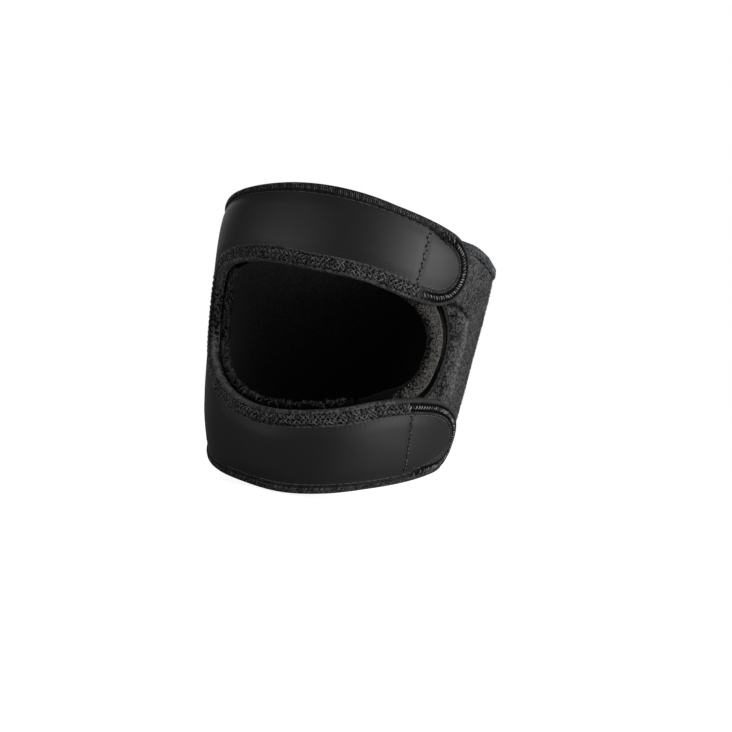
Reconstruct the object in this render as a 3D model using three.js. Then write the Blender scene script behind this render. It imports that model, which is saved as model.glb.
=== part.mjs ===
// Patella strap: a soft knee support with an open kneecap, one strap above it and one below it.
// Millimetres. +Z runs up the leg, -Y is the front of the knee, +X is the side that the straps fasten on.
// Every piece is cut on a flat pattern and wrapped onto the knee. A place on the pattern is a Vector2: x is
// the distance across from the middle of the front, positive towards +X, and y is the height on the leg.
// Depth is the distance out from the skin. Inset is the distance in from an edge of the pattern.
import * as THREE from "three";

// The knee that the strap is shaped to
const kneeWidth = 115;
const kneeDepth = 125;
const kneeRoundness = 2.15; // exponent of the cross-section: 2 is an ellipse, more is squarer

// Outline of the pattern
const frontHeight = 132; // unit of the heights in the tables, a little less than the front is high
const upperStrapWidth = 37.1; // top edge to opening, over the kneecap
const lowerStrapWidth = 34.5; // opening to bottom edge, under the kneecap
const openingLength = 118;
const openingMiddle = -2; // across
const seamTurn = -92; // degrees round the knee to the seam that joins the front to the wrap

// Strap ends, each half an ellipse: the tip is a place across, the tilt is that of the outer edge where the
// round end begins, and the drop is how far it lies in from the long edge there. The fullness is the
// exponent of the outer half: 2 is an ellipse, more is nearer to a rectangle.
const upperTab = { width: 33.2, length: 16.6, tip: 66, tilt: 20, drop: 0.6, fullness: 2 };
const lowerTab = { width: 34, length: 27.5, tip: 90, tilt: 16, drop: 0.2, fullness: 2.5 };
const upperHookLength = 17;
const lowerHookLength = 26;
const tabBlend = 22; // length over which a strap's edges run into its round end
const tipOpening = 4; // degrees left out on each side of the very tip, so that the cloth keeps a width

// Cloth and tape
const gap = 0.3; // clearance between pieces that lie on each other
const clothThickness = 3;
const tapeThickness = 0.5;
const edgeTapeWidth = 4; // tape on the outer edges of the straps
const openingTapeWidth = 7.2; // tape along the opening and round the strap ends
const widenStart = 8; // how far before a round end its outer tape begins to widen
const widenEnd = 9; // how far before the tip it has its full width
const liningTapeWidth = 3.4; // every tape, on the side of the skin
const wrapTapeWidth = 5.2; // tape on the long edges of the wrap
const endTapeWidth = 1.8; // tape on the free end of the wrap

// The narrow side of the opening, the wrap's free end beside it, and the pads
const bridgeWidth = 8.5;
const bridgeDive = 2.5; // how much further under the upper strap the bridge's upper end lies
const bridgePeek = 1.6; // how much further the bridge's lower end shows inside the opening
const bridgePeekStart = -20; // degrees round the opening
const grooveWidth = 2;
const bridgeUpperEnd = 60; // degrees round the opening, under the upper strap
const bridgeLowerEnd = -54.5; // degrees round the opening, under the lower strap
const upperEar = 50; // degrees round the opening to where the wrap runs up under the upper strap
const lowerEar = -44;
const sidePadLength = 18;
const sidePadHeight = 44;
const sidePadRise = 2;
const sidePadShoulder = 5;
const sidePadStart = 3.5; // across, from the free end
const upperJoin = 57; // degrees round the opening to where the upper strap's end leaves its outline
const lowerJoin = -54;
const leftTop = 146; // degrees round the opening to where the cloth's outer side turns down the seam
const leftBottom = 214;
const kneecapPadWidth = 11;
const kneecapPadThickness = 5;
const kneecapPadPeek = 3; // how far the pad shows inside the opening
const peekAngle = 35; // degrees round the opening over which the pad comes into sight
const kneecapPadStart = 125; // degrees round the opening
const kneecapPadEnd = 303.5;
const padRim = 0.35; // depth of the pad's rim, as a share of its thickness
const padTaper = 4; // spans over which the pad's ends thin out
const bridgeRounding = 0.4; // share of the bridge's thickness that its rounded edges lose
const wrapEvening = 0.3; // share of the wrap's length over which its rows even out
const hookReach = 0.93; // how far a hook patch reaches into the round end, as a share of its length
const rampStart = -36; // across, where the straps begin to rise over the bridge and the wrap
const rampLength = 60;

// Depths, worked out from the layers
const clothDepth = tapeThickness + gap;
const edgeThickness = 2 * clothDepth + clothThickness;
const strapLift = edgeThickness + gap;
const hookDepth = clothDepth + clothThickness + gap;
const hookThickness = strapLift + clothDepth - gap - hookDepth;
const clothInset = tapeThickness + gap;

// One millimetre across is one millimetre of arc at this radius
const patternRadius = (kneeWidth + kneeDepth) / 4 + edgeThickness / 2;
const fullTurn = 2 * Math.PI * patternRadius;
const seamAcross = THREE.MathUtils.degToRad(seamTurn) * patternRadius;

// Sections of the knee: height as a share of frontHeight, width and depth as shares of the knee's own
const kneeSections = [
  { height: -0.68, width: 0.63, depth: 0.67 },
  { height: -0.567, width: 0.75, depth: 0.78 },
  { height: -0.469, width: 0.83, depth: 0.85 },
  { height: -0.304, width: 0.93, depth: 0.94 },
  { height: 0, width: 1, depth: 1 },
  { height: 0.304, width: 1.05, depth: 1.015 },
  { height: 0.469, width: 1, depth: 0.97 },
  { height: 0.567, width: 0.94, depth: 0.91 },
  { height: 0.68, width: 0.85, depth: 0.83 },
];

// Long edges round the knee: turn in degrees, top and bottom as shares of frontHeight
const edgeSections = [
  { turn: -95, top: 0.351, bottom: -0.406 },
  { turn: -70, top: 0.408, bottom: -0.471 },
  { turn: -45, top: 0.458, bottom: -0.513 },
  { turn: -20, top: 0.492, bottom: -0.531 },
  { turn: 0, top: 0.497, bottom: -0.531 },
  { turn: 20, top: 0.479, bottom: -0.504 },
  { turn: 45, top: 0.431, bottom: -0.448 },
  { turn: 58, top: 0.407, bottom: -0.419 },
  { turn: 70, top: 0.398, bottom: -0.391 },
  { turn: 82, top: 0.379, bottom: -0.371 },
  { turn: 95, top: 0.354, bottom: -0.355 },
  { turn: 130, top: 0.328, bottom: -0.345 },
  { turn: 180, top: 0.322, bottom: -0.345 },
  { turn: 230, top: 0.325, bottom: -0.35 },
];

// Outline of the opening: angle from +X in degrees, and reach as a share of the ellipse that is
// openingLength long and reaches from the upper strap to the lower one
const openingSections = [
  { angle: 0, reach: 0.984 },
  { angle: 20, reach: 1.04 },
  { angle: 45, reach: 1.08 },
  { angle: 65, reach: 1.045 },
  { angle: 90, reach: 1 },
  { angle: 115, reach: 1.1 },
  { angle: 138, reach: 1.2 },
  { angle: 160, reach: 1.07 },
  { angle: 180, reach: 1 },
  { angle: 212, reach: 0.975 },
  { angle: 240, reach: 1.015 },
  { angle: 258, reach: 1 },
  { angle: 282, reach: 0.912 },
  { angle: 300, reach: 0.876 },
  { angle: 314, reach: 0.868 },
  { angle: 326, reach: 0.872 },
  { angle: 338, reach: 0.918 },
  { angle: 350, reach: 0.966 },
];

// Share by which stations along a long edge bunch up towards the strap's end
const stationBunching = 1.2;

// Spans of the meshes, counted along each edge
const spans = {
  tip: 6,
  tapeTip: 12,
  blend: 5,
  strap: 15,
  side: 8,
  clothRows: 5,
  wrapPad: 8,
  wrapTurn: 30,
  wrapStraight: 3,
  wrapCurve: 15,
  bridge: 16,
  bridgeRows: 4,
  kneecapPad: 26,
  kneecapPadRows: 5,
  hook: 7,
  hookRows: 4,
};

const materials = {
  smooth: new THREE.MeshStandardMaterial({ color: 0x1b1b1d, roughness: 0.55, metalness: 0 }),
  loop: new THREE.MeshStandardMaterial({ color: 0x2c2c2e, roughness: 1, metalness: 0 }),
  tape: new THREE.MeshStandardMaterial({ color: 0x232326, roughness: 0.9, metalness: 0 }),
  hook: new THREE.MeshStandardMaterial({ color: 0x101011, roughness: 0.8, metalness: 0 }),
  lining: new THREE.MeshStandardMaterial({ color: 0x0d0d0e, roughness: 0.95, metalness: 0 }),
};

const { clamp, degToRad, euclideanModulo, lerp, radToDeg, smoothstep } = THREE.MathUtils;
const steps = (count) => Array.from({ length: count + 1 }, (_, i) => i / count);

// Smooth curve through the rows of a table. With a period, the last row runs on into the first.
function through(rows, key, column, x, period = 0) {
  const at = period ? rows[0][key] + euclideanModulo(x - rows[0][key], period) : x;
  const row = (k) => {
    if (!period) return rows[clamp(k, 0, rows.length - 1)];
    const turns = Math.floor(k / rows.length);
    const base = rows[k - turns * rows.length];
    return { ...base, [key]: base[key] + turns * period };
  };
  const last = period ? rows.length - 1 : rows.length - 2;
  const i = clamp(
    rows.findLastIndex((r) => r[key] <= at),
    0,
    last,
  );
  const [before, low, high, after] = [row(i - 1), row(i), row(i + 1), row(i + 2)];
  const width = high[key] - low[key];
  const lowSlope = (high[column] - before[column]) / (high[key] - before[key]);
  const highSlope = (after[column] - low[column]) / (after[key] - low[key]);
  const t = clamp((at - low[key]) / width, 0, 1);
  return (
    (2 * t ** 3 - 3 * t ** 2 + 1) * low[column] +
    (t ** 3 - 2 * t ** 2 + t) * width * lowSlope +
    (3 * t ** 2 - 2 * t ** 3) * high[column] +
    (t ** 3 - t ** 2) * width * highSlope
  );
}

// Step over which a direction is measured: millimetres on the pattern, degrees round the opening
const smallStep = 0.05;

// Knee

// Point of the skin at a place on the pattern
function skin(across, height) {
  const turn = across / patternRadius;
  const share = height / frontHeight;
  const halfWidth = (kneeWidth / 2) * through(kneeSections, "height", "width", share);
  const halfDepth = (kneeDepth / 2) * through(kneeSections, "height", "depth", share);
  const sideways = Math.abs(Math.sin(turn) / halfWidth) ** kneeRoundness;
  const forwards = Math.abs(Math.cos(turn) / halfDepth) ** kneeRoundness;
  const radius = (sideways + forwards) ** (-1 / kneeRoundness);
  return new THREE.Vector3(radius * Math.sin(turn), -radius * Math.cos(turn), height);
}

// Point above a place on the pattern, along the surface's own normal
function raise({ x, y }, depth) {
  const alongTurn = skin(x + smallStep, y).sub(skin(x - smallStep, y));
  const alongLeg = skin(x, y + smallStep).sub(skin(x, y - smallStep));
  return skin(x, y).addScaledVector(alongTurn.cross(alongLeg).normalize(), depth);
}

// The straps rise over the wrap on their way to their ends
const rampShare = (across) => smoothstep(across, rampStart, rampStart + rampLength);
const onSkin = raise;
const onStraps = (place, depth) => raise(place, depth + strapLift * rampShare(place.x));

// Pattern

const edgeShare = (column, across) =>
  through(edgeSections, "turn", column, radToDeg(across / patternRadius), 360);
const topEdge = (across) => frontHeight * edgeShare("top", across);
const bottomEdge = (across) => frontHeight * edgeShare("bottom", across);

const openingTop = topEdge(openingMiddle) - upperStrapWidth;
const openingBottom = bottomEdge(openingMiddle) + lowerStrapWidth;

// Place on the opening's outline, or outside it by inset
function opening(angle, inset) {
  const at = (degrees) => {
    const share = through(openingSections, "angle", "reach", degrees, 360);
    const x = openingMiddle + (openingLength / 2) * share * Math.cos(degToRad(degrees));
    const rise = ((openingTop - openingBottom) / 2) * share * Math.sin(degToRad(degrees));
    return new THREE.Vector2(x, (openingTop + openingBottom) / 2 + rise);
  };
  const along = at(angle + smallStep).sub(at(angle - smallStep)).normalize();
  return at(angle).add(new THREE.Vector2(along.y, -along.x).multiplyScalar(inset));
}

// A strap's round end, with the facts that its edges need. Side is 1 above the kneecap and -1 below it.
// The angle goes round the end from 0 at the outer edge to 180 at the edge that faces the opening, and the
// round end begins at the angle start.
function roundEnd({ width, length, tip, tilt, drop, fullness }, edge, side) {
  const radius = width / 2;
  const power = 2 / fullness;
  const slope = (Math.tan(degToRad(tilt)) * length) / radius;
  const turn = Math.atan(slope ** (fullness / (2 * (fullness - 1))));
  const x = tip - length;
  const outer = x + length * Math.sin(turn) ** power;
  const centre = new THREE.Vector2(x, edge(outer) - side * (drop + radius * Math.cos(turn) ** power));
  const at = (angle, inset) => {
    const bend = angle < 90 ? power : 1;
    const across = (length - inset) * Math.sin(degToRad(angle)) ** bend;
    const up = side * (radius - inset) * Math.cos(degToRad(angle)) ** bend;
    return new THREE.Vector2(centre.x + across, centre.y + up);
  };
  return { at, centre, edge, length, radius, side, tilt, start: radToDeg(turn) };
}
const upperEnd = roundEnd(upperTab, topEdge, 1);
const lowerEnd = roundEnd(lowerTab, bottomEdge, -1);

// Smooth run between two places, each with the direction that the edge has there
function run(from, fromDirection, to, toDirection, t) {
  const reach = from.distanceTo(to) / 3;
  const leave = from.clone().addScaledVector(fromDirection, reach);
  const arrive = to.clone().addScaledVector(toDirection, -reach);
  return new THREE.CubicBezierCurve(from, leave, arrive, to).getPoint(t);
}

// Edges of a strap, as lists of stations from its tip to the middle of the knee. A station is a function
// that gives the place at an inset from the edge.
function strapEdges(end, openingAngle) {
  const { at, centre, edge, side, start, tilt } = end;
  const lean = degToRad(tilt);
  const join = centre.x - tabBlend;
  const edgePlace = (x, inset) => new THREE.Vector2(x, edge(x) - side * inset);
  const outerTip = (t) => (inset) => at(lerp(90 - tipOpening, start, t), inset);
  const outerRun = (t) => (inset) => {
    const away = edgePlace(join - 1, 0).sub(edgePlace(join, 0)).normalize();
    const leave = new THREE.Vector2(-Math.cos(lean), side * Math.sin(lean));
    return run(at(start, inset), leave, edgePlace(join, inset), away, t);
  };
  const innerTip = (t) => (inset) => at(lerp(90 + tipOpening, 180, t), inset);
  const innerRun = (t) => (inset) => {
    const away = opening(openingAngle + side, 0).sub(opening(openingAngle, 0)).normalize();
    const leave = new THREE.Vector2(-1, 0);
    return run(at(180, inset), leave, opening(openingAngle, inset), away, t);
  };
  const list = (tip, blend) => [
    ...steps(spans.tip).map(tip),
    ...steps(spans.blend).slice(1).map(blend),
  ];
  return { outer: list(outerTip, outerRun), inner: list(innerTip, innerRun), join, edgePlace };
}
const upper = strapEdges(upperEnd, upperJoin);
const lower = strapEdges(lowerEnd, lowerJoin);

// Stations along the opening between two angles, and along a long edge from a strap's join to the seam
const alongOpening = (from, to, count) =>
  steps(count).map((t) => (inset) => opening(lerp(from, to, t), inset));
function alongEdge(strap, from, to) {
  const start = opening(from, 0).x;
  const length = start - opening(to, 0).x;
  return steps(spans.strap).map((t) => {
    const share = ((start - opening(lerp(from, to, t), 0).x) / length) ** stationBunching;
    return (inset) => strap.edgePlace(lerp(strap.join, seamAcross + gap / 2, share), inset);
  });
}
const upperOpening = alongOpening(upperJoin, leftTop, spans.strap);
const leftOpening = alongOpening(leftTop, leftBottom, spans.side);
const lowerOpening = alongOpening(lowerJoin + 360, leftBottom, spans.strap);
const upperLong = alongEdge(upper, upperJoin, leftTop);
const lowerLong = alongEdge(lower, lowerJoin + 360, leftBottom);
const seam = steps(spans.side).map((t) => (inset) => {
  const [top, bottom] = [upperLong.at(-1)(inset), lowerLong.at(-1)(inset)];
  return top.lerp(bottom, t);
});

// From tip to tip, on the side of the opening and on the outer side
const innerStations = [
  ...upper.inner,
  ...upperOpening.slice(1),
  ...leftOpening.slice(1),
  ...lowerOpening.toReversed().slice(1),
  ...lower.inner.toReversed().slice(1),
];
const outerStations = [
  ...upper.outer,
  ...upperLong.slice(1),
  ...seam.slice(1),
  ...lowerLong.toReversed().slice(1),
  ...lower.outer.toReversed().slice(1),
];

// Solids

// Closed solid through sections, each with as many points on its under side as on its over side
function strip(sections) {
  const width = sections[0].under.length;
  const around = 2 * width;
  const rings = sections.map(({ under, over }) => [...under, ...over.toReversed()]);
  const index = [];
  const quad = (a, b, c, d) => index.push(a, b, c, a, c, d);
  for (let i = 0; i < rings.length - 1; i++)
    for (let j = 0; j < around; j++) {
      const k = (j + 1) % around;
      quad(i * around + j, (i + 1) * around + j, (i + 1) * around + k, i * around + k);
    }
  for (let j = 0; j < width - 1; j++) {
    const corners = [j, j + 1, around - 2 - j, around - 1 - j];
    quad(...corners);
    quad(...corners.map((k) => (rings.length - 1) * around + k).reverse());
  }
  const points = rings.flat();
  let volume = 0;
  for (let i = 0; i < index.length; i += 3) {
    const [a, b, c] = index.slice(i, i + 3).map((k) => points[k]);
    volume += a.dot(b.clone().cross(c));
  }
  if (volume < 0) index.reverse();
  const geometry = new THREE.BufferGeometry().setFromPoints(points).setIndex(index);
  geometry.computeVertexNormals();
  return geometry;
}

// Sheet over columns of places, from a depth up to the depth that height gives for each place
function sheet(columns, layer, low, high) {
  return strip(
    columns.map((places, column) => ({
      under: places.map((place) => layer(place, low)),
      over: places.map((place, row) => layer(place, high(place, column, row))),
    })),
  );
}

// Tape folded over an edge. On the outside its width is a function of the place.
function tape(stations, outside, layer) {
  const fold = (station, low, high, edge) => [
    layer(station(liningTapeWidth), low),
    layer(station(edge), low),
    layer(station(edge), high),
    layer(station(outside(station(0))), high),
  ];
  return strip(
    stations.map((station) => ({
      over: fold(station, 0, edgeThickness, 0),
      under: fold(station, tapeThickness, edgeThickness - tapeThickness, tapeThickness),
    })),
  );
}

// The stations with half a gap taken off one end or both, where a tape meets the next one
function shorten(stations, atStart, atEnd) {
  const pull = (station, towards) => (inset) => {
    const [from, to] = [station(inset), towards(inset)];
    return from.addScaledVector(to.sub(from).normalize(), gap / 2);
  };
  const cut = [...stations];
  if (atStart) cut[0] = pull(stations[0], stations[1]);
  if (atEnd) cut[cut.length - 1] = pull(stations.at(-1), stations.at(-2));
  return cut;
}

const group = new THREE.Group();
function add(name, geometry, material) {
  const mesh = new THREE.Mesh(geometry, material);
  mesh.name = name;
  group.add(mesh);
}

// Front cloth, from the tip of the upper strap round the opening to the tip of the lower one
const frontColumns = innerStations.map((station, i) => {
  const [from, to] = [station(clothInset), outerStations[i](clothInset)];
  return steps(spans.clothRows).map((t) => from.clone().lerp(to, t));
});
add(
  "front_cloth",
  sheet(frontColumns, onStraps, clothDepth, () => clothDepth + clothThickness),
  materials.smooth,
);

// A strap's edge tape runs from the seam along the outer edge, round the tip and back to the opening's
// tape. It widens on its way to the tip, and from there it is as wide as the opening's.
const tapeJoin = Math.ceil(spans.blend / 2); // station of the inner run where the two tapes meet
function strapTape(strap, end, long) {
  const outerRun = strap.outer.slice(spans.tip + 1).toReversed();
  const tip = steps(spans.tapeTip).map((t) => (inset) => end.at(lerp(end.start, 180, t), inset));
  const innerRun = strap.inner.slice(spans.tip + 1, spans.tip + 1 + tapeJoin);
  const stations = [...long.toReversed(), ...outerRun.slice(1), ...tip, ...innerRun];
  return shorten(stations, false, true);
}
const strapTapeWidth =
  ({ centre, length, side }) =>
  (place) => {
    if (side * (place.y - centre.y) < 0) return openingTapeWidth;
    const share = smoothstep(place.x, centre.x - widenStart, centre.x + length - widenEnd);
    return lerp(edgeTapeWidth, openingTapeWidth, share);
  };
add(
  "upper_edge_tape",
  tape(strapTape(upper, upperEnd, upperLong), strapTapeWidth(upperEnd), onStraps),
  materials.tape,
);
add(
  "lower_edge_tape",
  tape(strapTape(lower, lowerEnd, lowerLong), strapTapeWidth(lowerEnd), onStraps),
  materials.tape,
);

// Tape along the opening, between the edge tapes of the two straps
const firstJoin = spans.tip + tapeJoin;
const openingStations = innerStations.slice(firstJoin, innerStations.length - firstJoin);
add(
  "opening_tape",
  tape(shorten(openingStations, true, true), () => openingTapeWidth, onStraps),
  materials.tape,
);

// Bridge, the narrow side of the opening, with its ends under the straps
const bridgeColumns = steps(spans.bridge).map((t) => {
  const angle = lerp(bridgeUpperEnd, bridgeLowerEnd, t);
  const dive = bridgeDive * smoothstep(angle, upperEar, bridgeUpperEnd);
  const peek = bridgePeek * smoothstep(-angle, -bridgePeekStart, -lowerEar);
  const [near, far] = [gap + dive - peek, gap + dive + bridgeWidth];
  return steps(spans.bridgeRows).map((s) => opening(angle, lerp(near, far, s)));
});
const bridgeHeight = (place, column, row) =>
  edgeThickness * (1 - bridgeRounding * (1 - Math.sin((Math.PI * row) / spans.bridgeRows)));
add("bridge", sheet(bridgeColumns, onSkin, 0, bridgeHeight), materials.tape);

// Wrap: its free end follows the bridge and runs on under both straps
const endInset = gap + bridgeWidth + grooveWidth;
const wrapSeam = seamAcross + fullTurn - gap / 2;
function freeEnd(trim) {
  const corner = (angle) => (inset) => opening(angle, endInset + inset);
  const straight = (angle, edge, side) => (t) => (inset) => {
    const across = corner(angle)(0).x + inset;
    const start = new THREE.Vector2(across, edge(across) - side * Math.max(inset, trim));
    return start.lerp(corner(angle)(inset), t);
  };
  const shares = steps(spans.wrapStraight).slice(0, -1);
  return [
    ...shares.map(straight(upperEar, topEdge, 1)),
    ...steps(spans.wrapCurve).map((t) => corner(lerp(upperEar, lowerEar, t))),
    ...shares.map(straight(lowerEar, bottomEdge, -1)).toReversed(),
  ];
}
const padEnd = opening(0, endInset + sidePadLength).x;
const padShare = (padEnd - opening(upperEar, endInset).x) / (wrapSeam - opening(upperEar, endInset).x);
const wrapShares = [
  ...steps(spans.wrapPad).map((t) => t * padShare),
  ...steps(spans.wrapTurn)
    .slice(1)
    .map((t) => lerp(padShare, 1, t)),
];
const wrapStart = freeEnd(0).map((station) => station(clothInset));
const heightShare = ({ x, y }) => {
  const [top, bottom] = [topEdge(x) - clothInset, bottomEdge(x) + clothInset];
  return (y - bottom) / (top - bottom);
};
const wrapColumns = wrapShares.map((t) =>
  wrapStart.map((start, row) => {
    const x = lerp(start.x, wrapSeam, t);
    const even = 1 - row / (wrapStart.length - 1);
    const share = lerp(heightShare(start), even, smoothstep(t, 0, wrapEvening));
    return new THREE.Vector2(x, lerp(bottomEdge(x) + clothInset, topEdge(x) - clothInset, share));
  }),
);
const padMiddle = (upperEnd.at(180, 0).y + lowerEnd.at(180, 0).y) / 2;
function wrapHeight(place, column, row) {
  const fromEnd = place.x - wrapStart[row].x;
  const fromMiddle = Math.abs(place.y - padMiddle);
  const half = sidePadHeight / 2;
  const share =
    smoothstep(fromEnd, sidePadStart, sidePadStart + sidePadShoulder) *
    (1 - smoothstep(place.x, padEnd - sidePadShoulder, padEnd)) *
    (1 - smoothstep(fromMiddle, half - sidePadShoulder, half));
  return clothDepth + clothThickness + sidePadRise * share;
}
add("wrap", sheet(wrapColumns, onSkin, clothDepth, wrapHeight), materials.loop);

const wrapEdge = (edge, side, angle) =>
  wrapShares.map((t) => (inset) => {
    const x = lerp(opening(angle, endInset).x, wrapSeam, t);
    return new THREE.Vector2(x, edge(x) - side * inset);
  });
const wrapTop = tape(wrapEdge(topEdge, 1, upperEar), () => wrapTapeWidth, onSkin);
const wrapBottom = tape(wrapEdge(bottomEdge, -1, lowerEar), () => wrapTapeWidth, onSkin);
const wrapEnd = tape(freeEnd(wrapTapeWidth + gap), () => endTapeWidth, onSkin);
add("wrap_top_tape", wrapTop, materials.tape);
add("wrap_bottom_tape", wrapBottom, materials.tape);
add("wrap_end_tape", wrapEnd, materials.tape);

// Hook patches under the round ends, clear of every tape
const halvings = 30; // how often the search for a place on the free end halves its range
function freeEndHeight(across, side, inset) {
  let [right, middle] = [0, 90 * side];
  for (let i = 0; i < halvings; i++) {
    const angle = (right + middle) / 2;
    if (opening(angle, inset).x > across) right = angle;
    else middle = angle;
  }
  return opening(middle, inset).y;
}
function hookPatch(end, ear, length) {
  const { centre, edge, length: tabLength, radius, side } = end;
  const [long, round] = [tabLength, radius].map((size) => size - liningTapeWidth - gap);
  const start = opening(ear, endInset).x + endTapeWidth + gap;
  const [nearest, furthest] = side > 0 ? [Math.max, Math.min] : [Math.min, Math.max];
  return steps(spans.hook).map((t) => {
    const across = Math.min(start + t * length, centre.x + long * hookReach);
    const half = round * Math.sqrt(1 - (Math.max(across - centre.x, 0) / long) ** 2);
    const inner = nearest(
      centre.y - side * half,
      freeEndHeight(across, side, endInset + endTapeWidth + gap),
    );
    const outer = furthest(centre.y + side * half, edge(across) - side * (wrapTapeWidth + gap));
    return steps(spans.hookRows).map((s) => new THREE.Vector2(across, lerp(inner, outer, s)));
  });
}
const hookHeight = () => hookDepth + hookThickness;
const upperHook = hookPatch(upperEnd, upperEar, upperHookLength);
const lowerHook = hookPatch(lowerEnd, lowerEar, lowerHookLength);
add("upper_hook", sheet(upperHook, onSkin, hookDepth, hookHeight), materials.hook);
add("lower_hook", sheet(lowerHook, onSkin, hookDepth, hookHeight), materials.hook);

// Kneecap pad: a soft roll inside the opening's left end and along its lower edge
const padColumns = steps(spans.kneecapPad).map((t) => {
  const angle = lerp(kneecapPadStart, kneecapPadEnd, t);
  const peek = kneecapPadPeek * smoothstep(angle, 180, 180 + peekAngle);
  return steps(spans.kneecapPadRows).map((s) => opening(angle, s * kneecapPadWidth - peek));
});
const padDepth = (column, row) => {
  const ends = Math.min(column, spans.kneecapPad - column) / padTaper;
  const full = Math.sin((Math.PI * row) / spans.kneecapPadRows);
  return -gap - kneecapPadThickness * lerp(padRim, 1, full * Math.min(ends, 1));
};
add(
  "kneecap_pad",
  strip(
    padColumns.map((places, column) => ({
      under: places.map((place, row) => onStraps(place, padDepth(column, row))),
      over: places.map((place) => onStraps(place, -gap)),
    })),
  ),
  materials.lining,
);

export default group;
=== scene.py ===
# %% [markdown]
# # A patella strap in Blender
# The strap is foam rubber faced with cloth: two straps cross the knee above and below the kneecap, and a
# loop-faced wrap carries them round the back. Each piece is cut flat, so this lesson draws each one on a flat
# pattern in millimetres and wraps it onto the knee with the same few functions. That keeps seams, tapes and
# threads together without any fitting by eye.

import math

import bpy
import numpy as np
from mathutils import Matrix, Vector


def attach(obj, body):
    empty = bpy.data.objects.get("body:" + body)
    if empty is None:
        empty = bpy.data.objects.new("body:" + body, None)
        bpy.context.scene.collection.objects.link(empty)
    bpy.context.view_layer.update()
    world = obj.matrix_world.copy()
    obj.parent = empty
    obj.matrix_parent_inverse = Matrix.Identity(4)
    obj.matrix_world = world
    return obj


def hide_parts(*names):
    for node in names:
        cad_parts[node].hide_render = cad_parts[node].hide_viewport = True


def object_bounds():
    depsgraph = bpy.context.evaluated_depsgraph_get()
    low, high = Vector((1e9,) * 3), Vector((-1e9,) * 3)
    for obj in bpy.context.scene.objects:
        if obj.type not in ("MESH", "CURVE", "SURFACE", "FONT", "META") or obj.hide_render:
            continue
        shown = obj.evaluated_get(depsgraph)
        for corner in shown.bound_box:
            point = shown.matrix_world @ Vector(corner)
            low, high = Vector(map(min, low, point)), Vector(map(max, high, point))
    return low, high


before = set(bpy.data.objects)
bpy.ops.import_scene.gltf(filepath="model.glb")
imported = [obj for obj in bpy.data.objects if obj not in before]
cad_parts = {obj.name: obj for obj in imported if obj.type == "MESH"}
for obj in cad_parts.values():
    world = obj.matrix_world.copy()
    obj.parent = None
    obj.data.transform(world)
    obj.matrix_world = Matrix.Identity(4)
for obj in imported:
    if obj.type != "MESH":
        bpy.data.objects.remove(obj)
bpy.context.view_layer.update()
print("CAD nodes:", ", ".join(sorted(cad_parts)))

# %% [markdown]
# ## Sizes
# The names and values are those of the CAD source, in millimetres. On the pattern, x is the distance across
# from the middle of the front, y the height on the leg, depth the distance out from the skin, and inset the
# distance in from an edge. Tables hold shares of the named sizes, so one size changes everything that
# follows it.

# %% Sizes of the knee, the straps and the tapes
MM = 0.001
LAY_MM = 100  # millimetres of the pattern to one unit of the Lay map
knee_width, knee_depth, knee_roundness = 115, 125, 2.15
front_height, upper_strap_width, lower_strap_width = 132, 37.1, 34.5
opening_length, opening_middle, seam_turn = 118, -2, -92
upper_tab = dict(width=33.2, length=16.6, tip=66, tilt=20, drop=0.6, fullness=2)
lower_tab = dict(width=34, length=27.5, tip=90, tilt=16, drop=0.2, fullness=2.5)
tab_blend, tip_opening = 22, 4
gap, cloth_thickness, tape_thickness = 0.3, 3, 0.5
edge_tape_width, opening_tape_width, widen_start, widen_end = 4, 7.2, 8, 9
lining_tape_width, wrap_tape_width, end_tape_width = 3.4, 5.2, 1.8
bridge_width, bridge_dive, bridge_peek, bridge_peek_start, groove_width = 8.5, 2.5, 1.6, -20, 2
bridge_upper_end, bridge_lower_end, upper_ear, lower_ear = 60, -54.5, 50, -44
side_pad = dict(length=18, height=44, rise=2, shoulder=5, start=3.5)
upper_join, lower_join, left_top, left_bottom = 57, -54, 146, 214
kneecap_pad = dict(width=11, thickness=5, peek=3, start=125, end=303.5, fade=35)
ramp_start, ramp_length = -36, 60

cloth_depth = tape_thickness + gap
edge_thickness = 2 * cloth_depth + cloth_thickness
cloth_top = cloth_depth + cloth_thickness
strap_lift = edge_thickness + gap
cloth_inset = tape_thickness + gap
pattern_radius = (knee_width + knee_depth) / 4 + edge_thickness / 2
full_turn = 2 * math.pi * pattern_radius
seam_across = math.radians(seam_turn) * pattern_radius
print(f"one turn round the knee is {full_turn:.1f} mm, and a bound edge is {edge_thickness:.1f} mm thick")

# %% Tables of the knee, the long edges and the opening
knee_sections = dict(
    height=[-0.68, -0.567, -0.469, -0.304, 0, 0.304, 0.469, 0.567, 0.68],
    width=[0.63, 0.75, 0.83, 0.93, 1, 1.05, 1, 0.94, 0.85],
    depth=[0.67, 0.78, 0.85, 0.94, 1, 1.015, 0.97, 0.91, 0.83],
)
edge_sections = dict(
    turn=[-95, -70, -45, -20, 0, 20, 45, 58, 70, 82, 95, 130, 180, 230],
    top=[0.351, 0.408, 0.458, 0.492, 0.497, 0.479, 0.431, 0.407, 0.398, 0.379, 0.354, 0.328, 0.322, 0.325],
    bottom=[-0.406, -0.471, -0.513, -0.531, -0.531, -0.504, -0.448]
    + [-0.419, -0.391, -0.371, -0.355, -0.345, -0.345, -0.35],
)
opening_sections = dict(
    angle=[0, 20, 45, 65, 90, 115, 138, 160, 180, 212, 240, 258, 282, 300, 314, 326, 338, 350],
    reach=[0.984, 1.04, 1.08, 1.045, 1, 1.1, 1.2, 1.07, 1]
    + [0.975, 1.015, 1, 0.912, 0.876, 0.868, 0.872, 0.918, 0.966],
)
print("tables:", len(knee_sections["height"]), len(edge_sections["turn"]), len(opening_sections["angle"]))

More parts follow.
